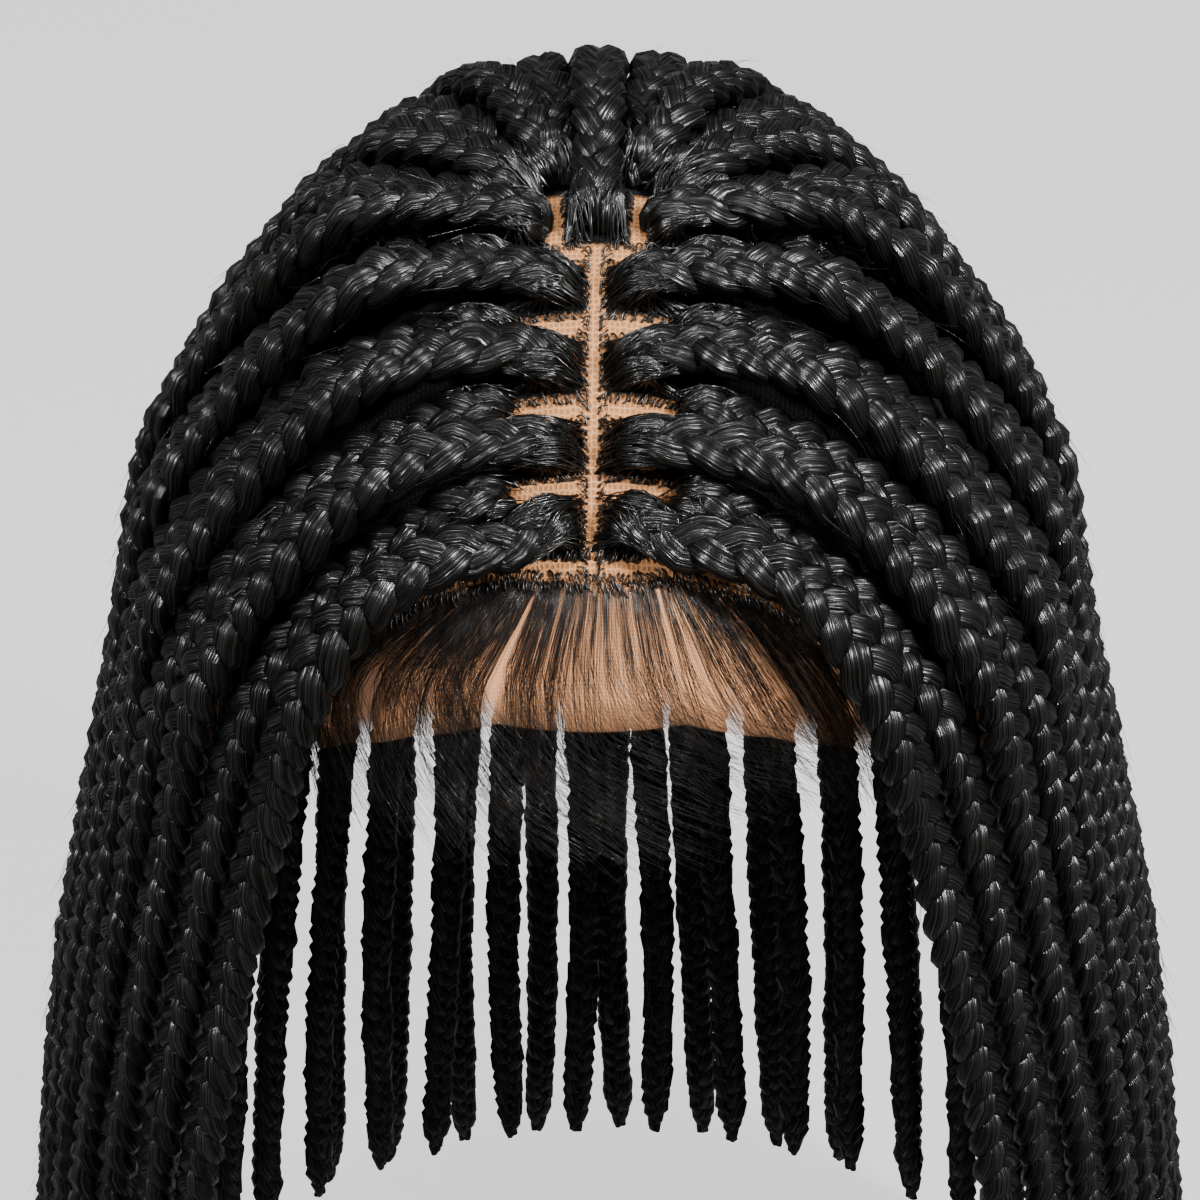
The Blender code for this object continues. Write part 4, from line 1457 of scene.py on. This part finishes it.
@dataclass
class LaceCap:
    """The full-lace cap and the sheer strip in front of it.

    Attributes:
        cap: Form of the cap.
        columns: Columns of faces round the cap.
        rings: Rings of faces from the crown to the edge.
        strip_half_angle: How far round the cap the hairline strip is bare, in degrees.
        front_wall: Thickness of the sheer strip; front_depth is its depth in the middle.
        front_half_angle: How far round the cap it reaches, as in the solids, in degrees.
        end_share: Share of its depth that is left at its ends; taper is how fast it gets there.
        piece_gap: Gap to the cap in the solids, which the strip bridges here.
    """

    cap: CapForm
    columns: int = 132
    rings: int = 46
    strip_half_angle: float = 46.0
    front_wall: float = 0.0010
    front_depth: float = 0.025
    front_half_angle: float = 360.0 * 5.0 / 28.0
    front_columns: int = 80
    front_rows: int = 24
    end_share: float = 0.35
    taper: float = 1.5
    piece_gap: float = 0.0004

    def sheet_mesh(self, name: str, points: Array, cloth: Array, closed: bool) -> Object:
        """Mesh of a grid of points.

        Args:
            name: Name of the object.
            points: Points, as columns by rows by coordinates.
            cloth: Place on the cloth of each point, three numbers.
            closed: Whether the last column joins the first; its first row is then one point.

        Returns:
            The object.
        """
        columns, rows, _ = points.shape
        faces = []
        used = columns if closed else columns - 1
        for column in range(used):
            after = (column + 1) % columns
            for row in range(rows - 1):
                near, far = column * rows + row, after * rows + row
                if closed and row == 0:
                    faces.append((0, near + 1, far + 1))
                else:
                    faces.append((near, near + 1, far + 1, far))
        if closed:
            kept = [0] + [i for i in range(columns * rows) if i % rows]
            number = {old: new for new, old in enumerate(kept)}
            faces = [tuple(number[i] for i in face) for face in faces]
            flat, places = points.reshape(-1, 3)[kept], cloth.reshape(-1, 3)[kept]
        else:
            flat, places = points.reshape(-1, 3), cloth.reshape(-1, 3)
        mesh = bpy.data.meshes.new(name)
        mesh.from_pydata(flat.tolist(), [], faces)
        layer = mesh.attributes.new("cloth", "FLOAT_VECTOR", "POINT")
        layer.data.foreach_set("vector", places.reshape(-1).astype(np.float32))
        mesh.update()
        middle = mesh.polygons[len(faces) // 2]
        if middle.normal.dot(middle.center - Vector(self.cap.centre)) < 0.0:
            mesh.flip_normals()
        mesh.shade_smooth()
        return placed(name, mesh)

    def thicken(self, piece: Object, wall: float) -> None:
        """Give a sheet its wall on the outer side."""
        solid = piece.modifiers.new("wall", "SOLIDIFY")
        solid.thickness = wall
        solid.offset = 1.0
        solid.use_even_offset = False

    def build_cap(self, palette: Palette) -> Object:
        """The cap, from the crown to its edge."""
        azimuths = np.arange(self.columns) * 360.0 / self.columns
        shares = np.linspace(0.0, 1.0, self.rings + 1)
        rims = self.cap.rim_polar(azimuths)
        polar = rims[:, None] * shares[None, :]
        azimuth = np.radians(azimuths)[:, None] + np.zeros_like(polar)
        points = self.cap.point(azimuth, polar, -self.cap.wall)
        reach = polar * self.cap.map_radius
        edge = (polar - rims[:, None]) * self.cap.map_radius
        at_front = np.abs((azimuths + 180.0) % 360.0 - 180.0) < self.strip_half_angle
        edge = np.where(at_front[:, None], edge, -1.0)
        cloth = np.stack([reach * np.sin(azimuth), -reach * np.cos(azimuth), edge], axis=-1)
        piece = self.sheet_mesh("cap_of_lace", points, cloth, True)
        piece.data.materials.append(palette.cap)
        self.thicken(piece, self.cap.wall)
        return finished(piece, ("lace_cap",))

    def build_front(self, palette: Palette) -> Object:
        """The sheer strip that runs on below the hairline."""
        azimuths = np.linspace(-self.front_half_angle, self.front_half_angle, self.front_columns + 1)
        shares = np.linspace(0.0, 1.0, self.front_rows + 1)
        start = self.cap.rim_polar(azimuths) - self.piece_gap / self.cap.map_radius
        fullness = ease(self.taper * (1.0 - np.abs(azimuths) / self.front_half_angle))
        depth = self.front_depth * (self.end_share + (1.0 - self.end_share) * fullness)
        polar = start[:, None] + depth[:, None] * shares[None, :] / self.cap.map_radius
        azimuth = np.radians(azimuths)[:, None] + np.zeros_like(polar)
        points = self.cap.point(azimuth, polar, 0.5 * self.piece_gap - self.cap.wall)
        reach = polar * self.cap.map_radius
        down = shares[None, :] + 0.0 * polar
        cloth = np.stack([reach * np.sin(azimuth), -reach * np.cos(azimuth), down], axis=-1)
        piece = self.sheet_mesh("front_of_sheer_lace", points, cloth, False)
        piece.data.materials.append(palette.front)
        self.thicken(piece, self.front_wall)
        finished(piece, ("lace_front",))
        return piece


@dataclass
class Plaits:
    """All braids, plaited.

    Attributes:
        lines: Traced centre lines by name.
        palette: The finishes.
        tree: The plaiting tree.
    """

    lines: dict[str, BraidLine]
    palette: Palette
    tree: PlaitTree
    outer_rings_per_turn: float = 11.0
    outer_sides: int = 8
    under_rings_per_turn: float = 6.6
    under_sides: int = 6
    swing_share: float = 0.25
    rise_share: float = 0.14
    strand_share: float = 0.275
    flatness: float = 0.86

    def values(self, rings: int, sides: int, material: Material) -> dict[str, object]:
        """Inputs of the plaiting tree."""
        labels = ("Swing Share", "Rise Share", "Strand Share", "Strand Flatness")
        shares = (self.swing_share, self.rise_share, self.strand_share, self.flatness)
        return {"Rings": rings, "Sides": sides, "Material": material, **dict(zip(labels, shares))}

    def build_outer(self) -> list[Object]:
        """Each outer braid as a piece of its own."""
        pieces = []
        for name, line in self.lines.items():
            if not name.startswith("braid_"):
                continue
            threads = thread_object(
                name + "_thread",
                line.points[None],
                {"outward": line.outward, "width": line.widths, "phase": line.phase},
            )
            turns = (line.phase[-1] - line.phase[0]) / TURN
            rings = int(turns * self.outer_rings_per_turn)
            values = self.values(rings, self.outer_sides, self.palette.braid)
            piece = self.tree.grow(threads, name.replace("braid_", "plait_"), values)
            pieces.append(finished(piece, (name,)))
        return pieces

    def build_under(self, side: str) -> Object:
        """The braids below the outer layer on one side, as one piece."""
        chosen = [line for name, line in self.lines.items() if name.startswith(f"under_{side}")]
        steps = max(len(line.points) for line in chosen)
        share = np.linspace(0.0, 1.0, steps)

        def even(values: Array) -> Array:
            """Values brought to the same number of samples."""
            columns = np.atleast_2d(values.T)
            own = np.linspace(0.0, 1.0, columns.shape[1])
            return np.stack([np.interp(share, own, column) for column in columns], axis=-1)

        threads = thread_object(
            f"under_{side}_thread",
            np.array([even(line.points) for line in chosen]),
            {
                "outward": np.array([even(line.outward) for line in chosen]),
                "width": np.array([even(line.widths)[:, 0] for line in chosen]),
                "phase": np.array([even(line.phase)[:, 0] for line in chosen]),
            },
        )
        turns = max(line.phase[-1] - line.phase[0] for line in chosen) / TURN
        values = self.values(int(turns * self.under_rings_per_turn), self.under_sides, self.palette.under)
        piece = self.tree.grow(threads, f"under_plaits_{side}", values)
        return finished(piece, (f"under_braids_{side}",))


@dataclass(frozen=True)
class HairLook:
    """Form of single hairs.

    Attributes:
        thickness: Thickness at the root.
        tip: Share of it that is left at the tip.
        sides: Sides of a hair.
        waviness: How far the waves reach at the tip.
        waves: Waves along a metre.
        seed: Seed of the waves.
    """

    thickness: float = 0.00014
    tip: float = 0.4
    sides: int = 3
    waviness: float = 0.0020
    waves: float = 110.0
    seed: float = 5.0

    def values(self, material: Material) -> dict[str, object]:
        """Inputs of the hair tree."""
        labels = ("Thickness", "Tip Share", "Sides", "Waviness", "Waves Per Metre", "Seed")
        return {**dict(zip(labels, astuple(self))), "Material": material}


@dataclass
class LooseHair:
    """Single hairs of one kind.

    Attributes:
        cap: Form of the cap.
        lines: Traced centre lines by name.
        palette: The finishes.
        tree: The hair tree.
        seed: Seed of the random choices.
        steps: Points of a hair.
        look: Form of the hairs.
    """

    cap: CapForm
    lines: dict[str, BraidLine]
    palette: Palette
    tree: HairTree
    seed: int = 0
    steps: int = 5
    look: HairLook = HairLook()

    def sweep(self, name: str, lines: Array, material: Material, nodes: tuple[str, ...] = ()) -> Object:
        """Sweep hairs along lines.

        Args:
            name: Name of the piece.
            lines: Hairs by points by coordinates.
            material: Finish of the hairs.
            nodes: Solids that the piece stands for.

        Returns:
            The piece.
        """
        grow = np.tile(np.linspace(0.0, 1.0, lines.shape[1]), (lines.shape[0], 1))
        threads = thread_object(name + "_threads", lines, {"grow": grow})
        piece = self.tree.grow(threads, name, self.look.values(material))
        return finished(piece, nodes)


@dataclass
class RootFans(LooseHair):
    """The hairs that are drawn from the squares of the parting grid into the outer braids."""

    seed: int = 7
    steps: int = 6
    look: HairLook = HairLook(0.00030, 0.5, 3, 0.0010, 260.0, 1.0)
    # Hairs of a root, more of them near the partings
    near_hairs: int = 180
    far_hairs: int = 30
    near_reach: float = 0.036
    near_side: float = 0.016
    near_centre: float = -0.016
    # The square that they start in, and how many start along its edge
    box_half: tuple[float, float] = (0.0078, 0.0053)
    edge_share: float = 0.5
    edge_start: float = 0.86
    lift: float = 0.0002
    # How they wrap round the foot of the braid
    foot: float = 0.0006
    climb: tuple[float, float] = (0.0045, 0.0050)
    turn: float = 0.22
    swell: tuple[float, float] = (1.08, 0.26)
    wrap: tuple[float, float] = (0.40, 0.52)
    hold: float = 0.45

    def beside_fork(self, start: Array, root: Array) -> Array:
        """Start of a root hair, kept on its own side of the fork beside the centre braid.

        Args:
            start: Where the hair would start.
            root: Middle of its square.

        Returns:
            Where it starts.
        """
        scale = (np.array(self.cap.radii) + self.cap.wall)[:2] / self.cap.map_radius
        back = start[1] / scale[1]
        if not CROSS_PARTINGS[-1] < back < FORK_END:
            return start
        middle = float(fork_side(back))
        side = abs(start[0]) / scale[0]
        if abs(root[0]) / scale[0] > float(fork_side(root[1] / scale[1])):
            side = max(side, middle + FORK_HALF_WIDTH)
        else:
            side = min(side, middle - FORK_HALF_WIDTH)
        return np.array([math.copysign(side * scale[0], start[0]), start[1], start[2]])

    def fan(self, line: BraidLine, root: Array, rng: np.random.Generator, count: int) -> Array:
        """Hairs of one square.

        Args:
            line: The braid.
            root: Middle of the square on the cap.
            rng: Random numbers.
            count: Number of hairs.

        Returns:
            Hairs by points by coordinates.
        """
        up = self.cap.normals(root[None].copy())[0]
        east = unit(np.cross(np.array([0.0, 1.0, 0.0]), up))
        north = np.cross(up, east)
        hairs = []
        for _ in range(count):
            u, v = rng.uniform(-1.0, 1.0, 2)
            if rng.uniform() < self.edge_share:
                edge = rng.uniform(self.edge_start, 1.0) * rng.choice([-1.0, 1.0])
                u, v = (edge, v) if rng.uniform() < 0.5 else (u, edge)
            start = root + east * u * self.box_half[0] + north * v * self.box_half[1]
            start = self.beside_fork(start, root)
            start = start - up * (self.cap.lifts(start[None])[0] - self.lift)
            away = start - line.points[0]
            away = away - up * (away @ up)
            reach = float(np.linalg.norm(away)) + 1e-6
            last = self.climb[0] + 0.5 * reach + rng.uniform(0.0, self.climb[1])
            angle_shift = rng.normal(0.0, self.turn)
            toward = away / reach
            points = []
            for share in np.linspace(0.0, 1.0, self.steps):
                centre, _, out, across, width = line.frame_at(self.foot + last * share)
                angle = math.atan2(toward @ across, toward @ out) + angle_shift
                swell = self.swell[0] - self.swell[1] * share * share
                wrap = out * math.cos(angle) * self.wrap[0] * width
                wrap = wrap + across * math.sin(angle) * self.wrap[1] * width
                held = float(ease(share / self.hold))
                points.append((1.0 - held) * start + held * (centre + wrap * swell))
            hairs.append(points)
        return np.array(hairs)

    def build(self, roots: dict[str, Array]) -> Object:
        """Make the fans, given the middles of the squares by name."""
        rng = np.random.default_rng(self.seed)
        hairs = []
        for name, root in roots.items():
            near = math.hypot(root[0], root[1] - self.near_centre) < self.near_reach
            near = near or abs(root[0]) < self.near_side
            hairs.append(self.fan(self.lines[name], root, rng, self.near_hairs if near else self.far_hairs))
        return self.sweep("root_fans", np.concatenate(hairs), self.palette.fine)


@dataclass
class BabyHair(LooseHair):
    """The fine hair that falls from the hairline over the sheer lace, gathered into locks."""

    seed: int = 8
    steps: int = 9
    look: HairLook = HairLook(0.00013, 0.4, 3, 0.0042, 52.0, 3.0)
    # Their number, the places that they are shared out over, and how far they keep from the ends of
    # the table and of the strip, in degrees
    hairs: int = 1200
    places_across: int = 721
    end_inset: float = 0.3
    widest: float = 47.0
    # Locks: how wide they are, in degrees, how they differ, and how they pull their hairs together
    lock_seed: int = 9
    locks: int = 64
    lock_angle: float = 3.4
    lock_sweep: float = 1.4
    lock_shortening: float = 0.10
    lock_pull: tuple[float, float] = (0.32, 1.3)
    # Hairs: where they start, how they swing, curl and scatter, and how they rise off the lace
    start: tuple[float, float] = (0.0022, 0.0006)
    shortest: float = 0.35
    swing: tuple[float, float] = (1.5, 1.15)
    curls: tuple[float, float] = (0.5, 1.2)
    curl_start: float = 0.35
    curl_reach: float = 0.25
    scatter: float = 0.7
    rise: tuple[float, float] = (0.0003, 0.0009)

    def build(self) -> Object:
        """Make the hairs."""
        rng = np.random.default_rng(self.seed)
        first, last = BABY_HAIR[0].azimuth, BABY_HAIR[-1].azimuth
        places = np.linspace(first, last, self.places_across)
        shares = np.cumsum(table_value(BABY_HAIR, "azimuth", "share", places))
        azimuth = np.interp(rng.uniform(0.0, shares[-1], self.hairs), shares, places)
        azimuth = np.clip(azimuth, first + self.end_inset, last - self.end_inset)
        number = np.round(azimuth / self.lock_angle).astype(int)
        differences = np.random.default_rng(self.lock_seed).uniform(-1.0, 1.0, (self.locks, 2))
        lock = differences[number + self.locks // 2]
        length = table_value(BABY_HAIR, "azimuth", "length", azimuth)
        length = length * rng.uniform(self.shortest, 1.0, self.hairs) ** 0.5
        length = length * (1.0 - self.lock_shortening * np.abs(lock[:, 1]))
        sweep = table_value(BABY_HAIR, "azimuth", "sweep", azimuth) + self.lock_sweep * lock[:, 0]
        curl = table_value(BABY_HAIR, "azimuth", "curl", azimuth) * rng.uniform(*self.curls, self.hairs)
        share = np.linspace(0.0, 1.0, self.steps)[None, :]
        start = self.start[0] * rng.uniform(0.0, 1.0, self.hairs) ** 2 - self.start[1]
        swept = np.sin(0.5 * math.pi * np.minimum(share * self.swing[0], 1.0)) ** self.swing[1]
        bend = azimuth[:, None] + sweep[:, None] * swept
        bend = bend + curl[:, None] * np.maximum(share - self.curl_start, 0.0) ** 2 / self.curl_reach
        pull = (number * self.lock_angle - azimuth)[:, None] * self.lock_pull[0]
        bend = bend + pull * ease(share * self.lock_pull[1])
        bend = bend + rng.normal(0.0, self.scatter, self.hairs)[:, None] * share**2
        bend = np.clip(bend, -self.widest, self.widest)
        polar = self.cap.rim_polar(azimuth)[:, None]
        polar = polar + (start[:, None] + length[:, None] * share) / self.cap.map_radius
        low, arch = self.rise
        rise = low + rng.uniform(0.0, arch, self.hairs)[:, None] * np.sin(math.pi * share)
        lines = self.cap.point(np.radians(bend), polar, rise)
        return self.sweep("baby_hair_strands", lines, self.palette.baby, ("baby_hair",))


@dataclass
class StrayHairs(LooseHair):
    """Stray hairs that stand off the outer braids."""

    seed: int = 10
    look: HairLook = HairLook(0.00014, 0.4, 3, 0.0020, 110.0, 5.0)
    hairs_per_braid: int = 84
    # Where they leave the braid: its ends that stay free, and the place in its section
    free_ends: tuple[float, float] = (0.006, 0.02)
    turn: float = 1.9
    depth: tuple[float, float] = (0.36, 0.46)
    # How far they reach, and how far they lean and sway as shares of that
    reach: tuple[float, float] = (0.004, 0.011)
    lean: tuple[float, float] = (0.02, 0.30)
    sway: float = 0.35

    def build(self) -> Object:
        """Make the hairs."""
        rng = np.random.default_rng(self.seed)
        share = np.linspace(0.0, 1.0, self.steps)[:, None]
        first, last = self.free_ends
        high, wide = self.depth
        hairs = []
        for name, line in self.lines.items():
            if not name.startswith("braid_"):
                continue
            for place in rng.uniform(first, line.arc[-1] - last, self.hairs_per_braid):
                centre, along, out, across, width = line.frame_at(float(place))
                angle = rng.uniform(-self.turn, self.turn)
                outward, sideways = out * math.cos(angle), across * math.sin(angle)
                start = centre + (outward * high + sideways * wide) * width
                reach = rng.uniform(*self.reach)
                lean = (outward + sideways) * rng.uniform(*self.lean)
                sway = across * rng.uniform(-self.sway, self.sway)
                hairs.append(start + (along * share + lean * share + sway * share**2) * reach)
        return self.sweep("stray_hairs", np.array(hairs), self.palette.fine)


@dataclass
class PartingKnots(LooseHair):
    """The knotted hairs along the edges of the partings."""

    seed: int = 11
    look: HairLook = HairLook(0.00050, 0.5, 4, 0.0006, 500.0, 9.0)
    # Where they start: shares of the half widths of the partings, and rows along the hairline
    spacing: float = 0.0010
    centre_share: float = 0.55
    cross_share: float = 0.6
    cross_start: float = 0.0028
    fork_share: float = 0.8
    hairline_angles: tuple[float, float, float] = (-40.0, 40.0, 0.75)
    hairline_rows: tuple[tuple[float, float], ...] = (
        (HAIRLINE_STRIP, 1.0), (0.5 * HAIRLINE_STRIP, -0.9), (0.0006, -1.0),
    )  # fmt: skip
    # How far they lean: back at the centre and in the fork, sideways at the others
    centre_lean: float = 0.75
    fork_lean: float = 0.5
    cross_lean: float = 0.6
    hairline_lean: float = 0.4
    # How long they are, and how they scatter, swirl and rise
    reach: tuple[float, float] = (0.0014, 0.0030)
    scatter: float = 0.0002
    swirl: float = 0.0008
    rise: tuple[float, float] = (0.00015, 0.0007)

    def places(self) -> tuple[Array, Array]:
        """Where the knots start and which way they lean, sideways and back along the cap."""
        step, last, signs = self.spacing, CROSS_PARTINGS[-1], (-1.0, 1.0)
        rows: list[tuple[float, float, float, float]] = []
        for back, side in product(np.arange(HAIRLINE + step, last + step, step), signs):
            rows.append((side * PARTING_HALF_WIDTH * self.centre_share, back, side, self.centre_lean))
        sides = np.arange(self.cross_start, CROSS_REACH + step, step)
        for row, side, mirror, edge in product(CROSS_PARTINGS, sides, signs, signs):
            back = row + edge * CROSS_HALF_WIDTH * self.cross_share
            rows.append((mirror * side, back, self.cross_lean * mirror, edge))
        for back, mirror, edge in product(np.arange(last + 2.0 * step, FORK_END - step, step), signs, signs):
            side = float(fork_side(back)) + edge * FORK_HALF_WIDTH * self.fork_share
            rows.append((mirror * side, back, mirror * edge, self.fork_lean))
        for azimuth, (inset, lean) in product(np.arange(*self.hairline_angles), self.hairline_rows):
            east, north = math.sin(math.radians(azimuth)), math.cos(math.radians(azimuth))
            reach = float(self.cap.rim_polar(azimuth)) * self.cap.map_radius - inset
            rows.append((reach * east, -reach * north, -east * lean + self.hairline_lean, north * lean))
        knots = np.array(rows)
        return knots[:, :2], unit(knots[:, 2:])

    def build(self) -> Object:
        """Make the knots."""
        rng = np.random.default_rng(self.seed)
        start, lean = self.places()
        start = start + rng.normal(0.0, self.scatter, start.shape)
        reach = rng.uniform(*self.reach, len(start))
        share = np.linspace(0.0, 1.0, self.steps)
        place = start[:, None, :] + lean[:, None, :] * (reach[:, None] * share[None, :])[..., None]
        swirl = np.stack([-lean[:, 1], lean[:, 0]], axis=-1)
        swirl = swirl * rng.uniform(-self.swirl, self.swirl, len(start))[:, None]
        place = place + swirl[:, None, :] * np.sin(math.pi * share)[None, :, None]
        low, arch = self.rise
        rise = low + arch * np.sin(math.pi * share)[None, :] + np.zeros((len(start), 1))
        lines = self.cap.mapped(place[..., 0], place[..., 1], rise)
        return self.sweep("parting_knots", lines, self.palette.baby)


class Lamp(NamedTuple):
    """A soft lamp that looks at the wig: its place, the side of its square face and its watts."""

    name: str
    place: tuple[float, float, float]
    size: float
    power: float


@dataclass
class Studio:
    """Pale floor, soft light and the camera.

    Attributes:
        eye: Place of the camera; ahead is the direction of its view and roll its turn in degrees.
        lens: Focal length for a sensor of the given width, in millimetres.
        floor: Height of the floor; floor_half is half its side, and grey and glow are its looks.
        aim: What the lamps look at.
        lamps: The lamps.
        surroundings: Strength of the plain light from all sides.
    """

    eye: tuple[float, float, float] = (0.01045, -0.4508, 0.2087)
    ahead: tuple[float, float, float] = (-0.0203, 0.8298, -0.5577)
    roll: float = -0.6
    lens: float = 78.0
    sensor: float = 36.0
    floor: float = -0.392
    floor_half: float = 6.0
    grey: float = 0.09
    glow: float = 1.2
    aim: tuple[float, float, float] = (0.0, 0.0, -0.12)
    lamps: tuple[Lamp, ...] = (
        Lamp("lamp_above", (0.0, -0.05, 1.25), 0.26, 25.0),
        Lamp("lamp_left", (-0.9, -0.9, 1.05), 0.24, 44.0),
        Lamp("lamp_right", (1.0, -0.8, 1.05), 0.26, 115.0),
    )
    surroundings: float = 0.32

    def build_camera(self) -> None:
        """Make the camera and use it."""
        data = bpy.data.cameras.new("camera")
        data.lens = self.lens
        data.sensor_width = self.sensor
        data.clip_start = 0.01
        camera = placed("camera", data)
        turn = Vector(self.ahead).to_track_quat("-Z", "Y")
        roll = Matrix.Rotation(math.radians(self.roll), 4, "Z")
        camera.matrix_world = Matrix.Translation(self.eye) @ turn.to_matrix().to_4x4() @ roll
        bpy.context.scene.camera = camera

    def build_floor(self) -> None:
        """Make the floor."""
        half = self.floor_half
        corners = [(-half, -half), (half, -half), (half, half), (-half, half)]
        mesh = bpy.data.meshes.new("floor")
        mesh.from_pydata([(x, y, self.floor) for x, y in corners], [], [(0, 1, 2, 3)])
        finish = Finish("pale_floor")
        finish.set(Base_Color=(self.grey, self.grey, self.grey, 1.0), Roughness=0.9)
        finish.set(Emission_Color=(1.0, 1.0, 1.0, 1.0), Emission_Strength=self.glow)
        mesh.materials.append(finish.material)
        floor = placed("floor", mesh)
        floor.visible_glossy = False  # black hair would turn grey with the glow of the floor in its gloss

    def build_light(self) -> None:
        """Make the lamps and the plain pale surroundings."""
        for lamp in self.lamps:
            data = bpy.data.lights.new(lamp.name, "AREA")
            data.shape = "SQUARE"
            data.size = lamp.size
            data.energy = lamp.power
            light = placed(lamp.name, data)
            light.location = lamp.place
            light.rotation_mode = "QUATERNION"
            light.rotation_quaternion = (Vector(self.aim) - Vector(lamp.place)).to_track_quat("-Z", "Y")
        world = bpy.data.worlds.new("surroundings")
        world.use_nodes = True
        background = world.node_tree.nodes["Background"]
        background.inputs["Color"].default_value = (1.0, 1.0, 1.0, 1.0)
        background.inputs["Strength"].default_value = self.surroundings
        bpy.context.scene.world = world


def main() -> None:
    """Build the dressed wig."""
    logging.basicConfig(level=logging.INFO, format="%(message)s")
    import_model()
    cap = CapForm()
    layout = BraidLayout(cap)
    tracer = BraidTracer(layout)
    rng = np.random.default_rng(tracer.phase_seed)
    lines = {
        name: tracer.trace(name, route, float(rng.uniform(0.0, TURN)))
        for name, route in layout.routes().items()
    }
    palette = Palette.make()
    lace = LaceCap(cap)
    cap_piece = lace.build_cap(palette)
    lace.build_front(palette)
    plaits = Plaits(lines, palette, PlaitTree())
    plaits.build_outer()
    for side in ("left", "right"):
        plaits.build_under(side)
    shared = (cap, lines, palette, HairTree())
    RootFans(*shared).build(layout.root_points())
    BabyHair(*shared).build()
    StrayHairs(*shared).build()
    PartingKnots(*shared).build()
    studio = Studio()
    studio.build_camera()
    studio.build_floor()
    studio.build_light()


if __name__ == "__main__":
    main()
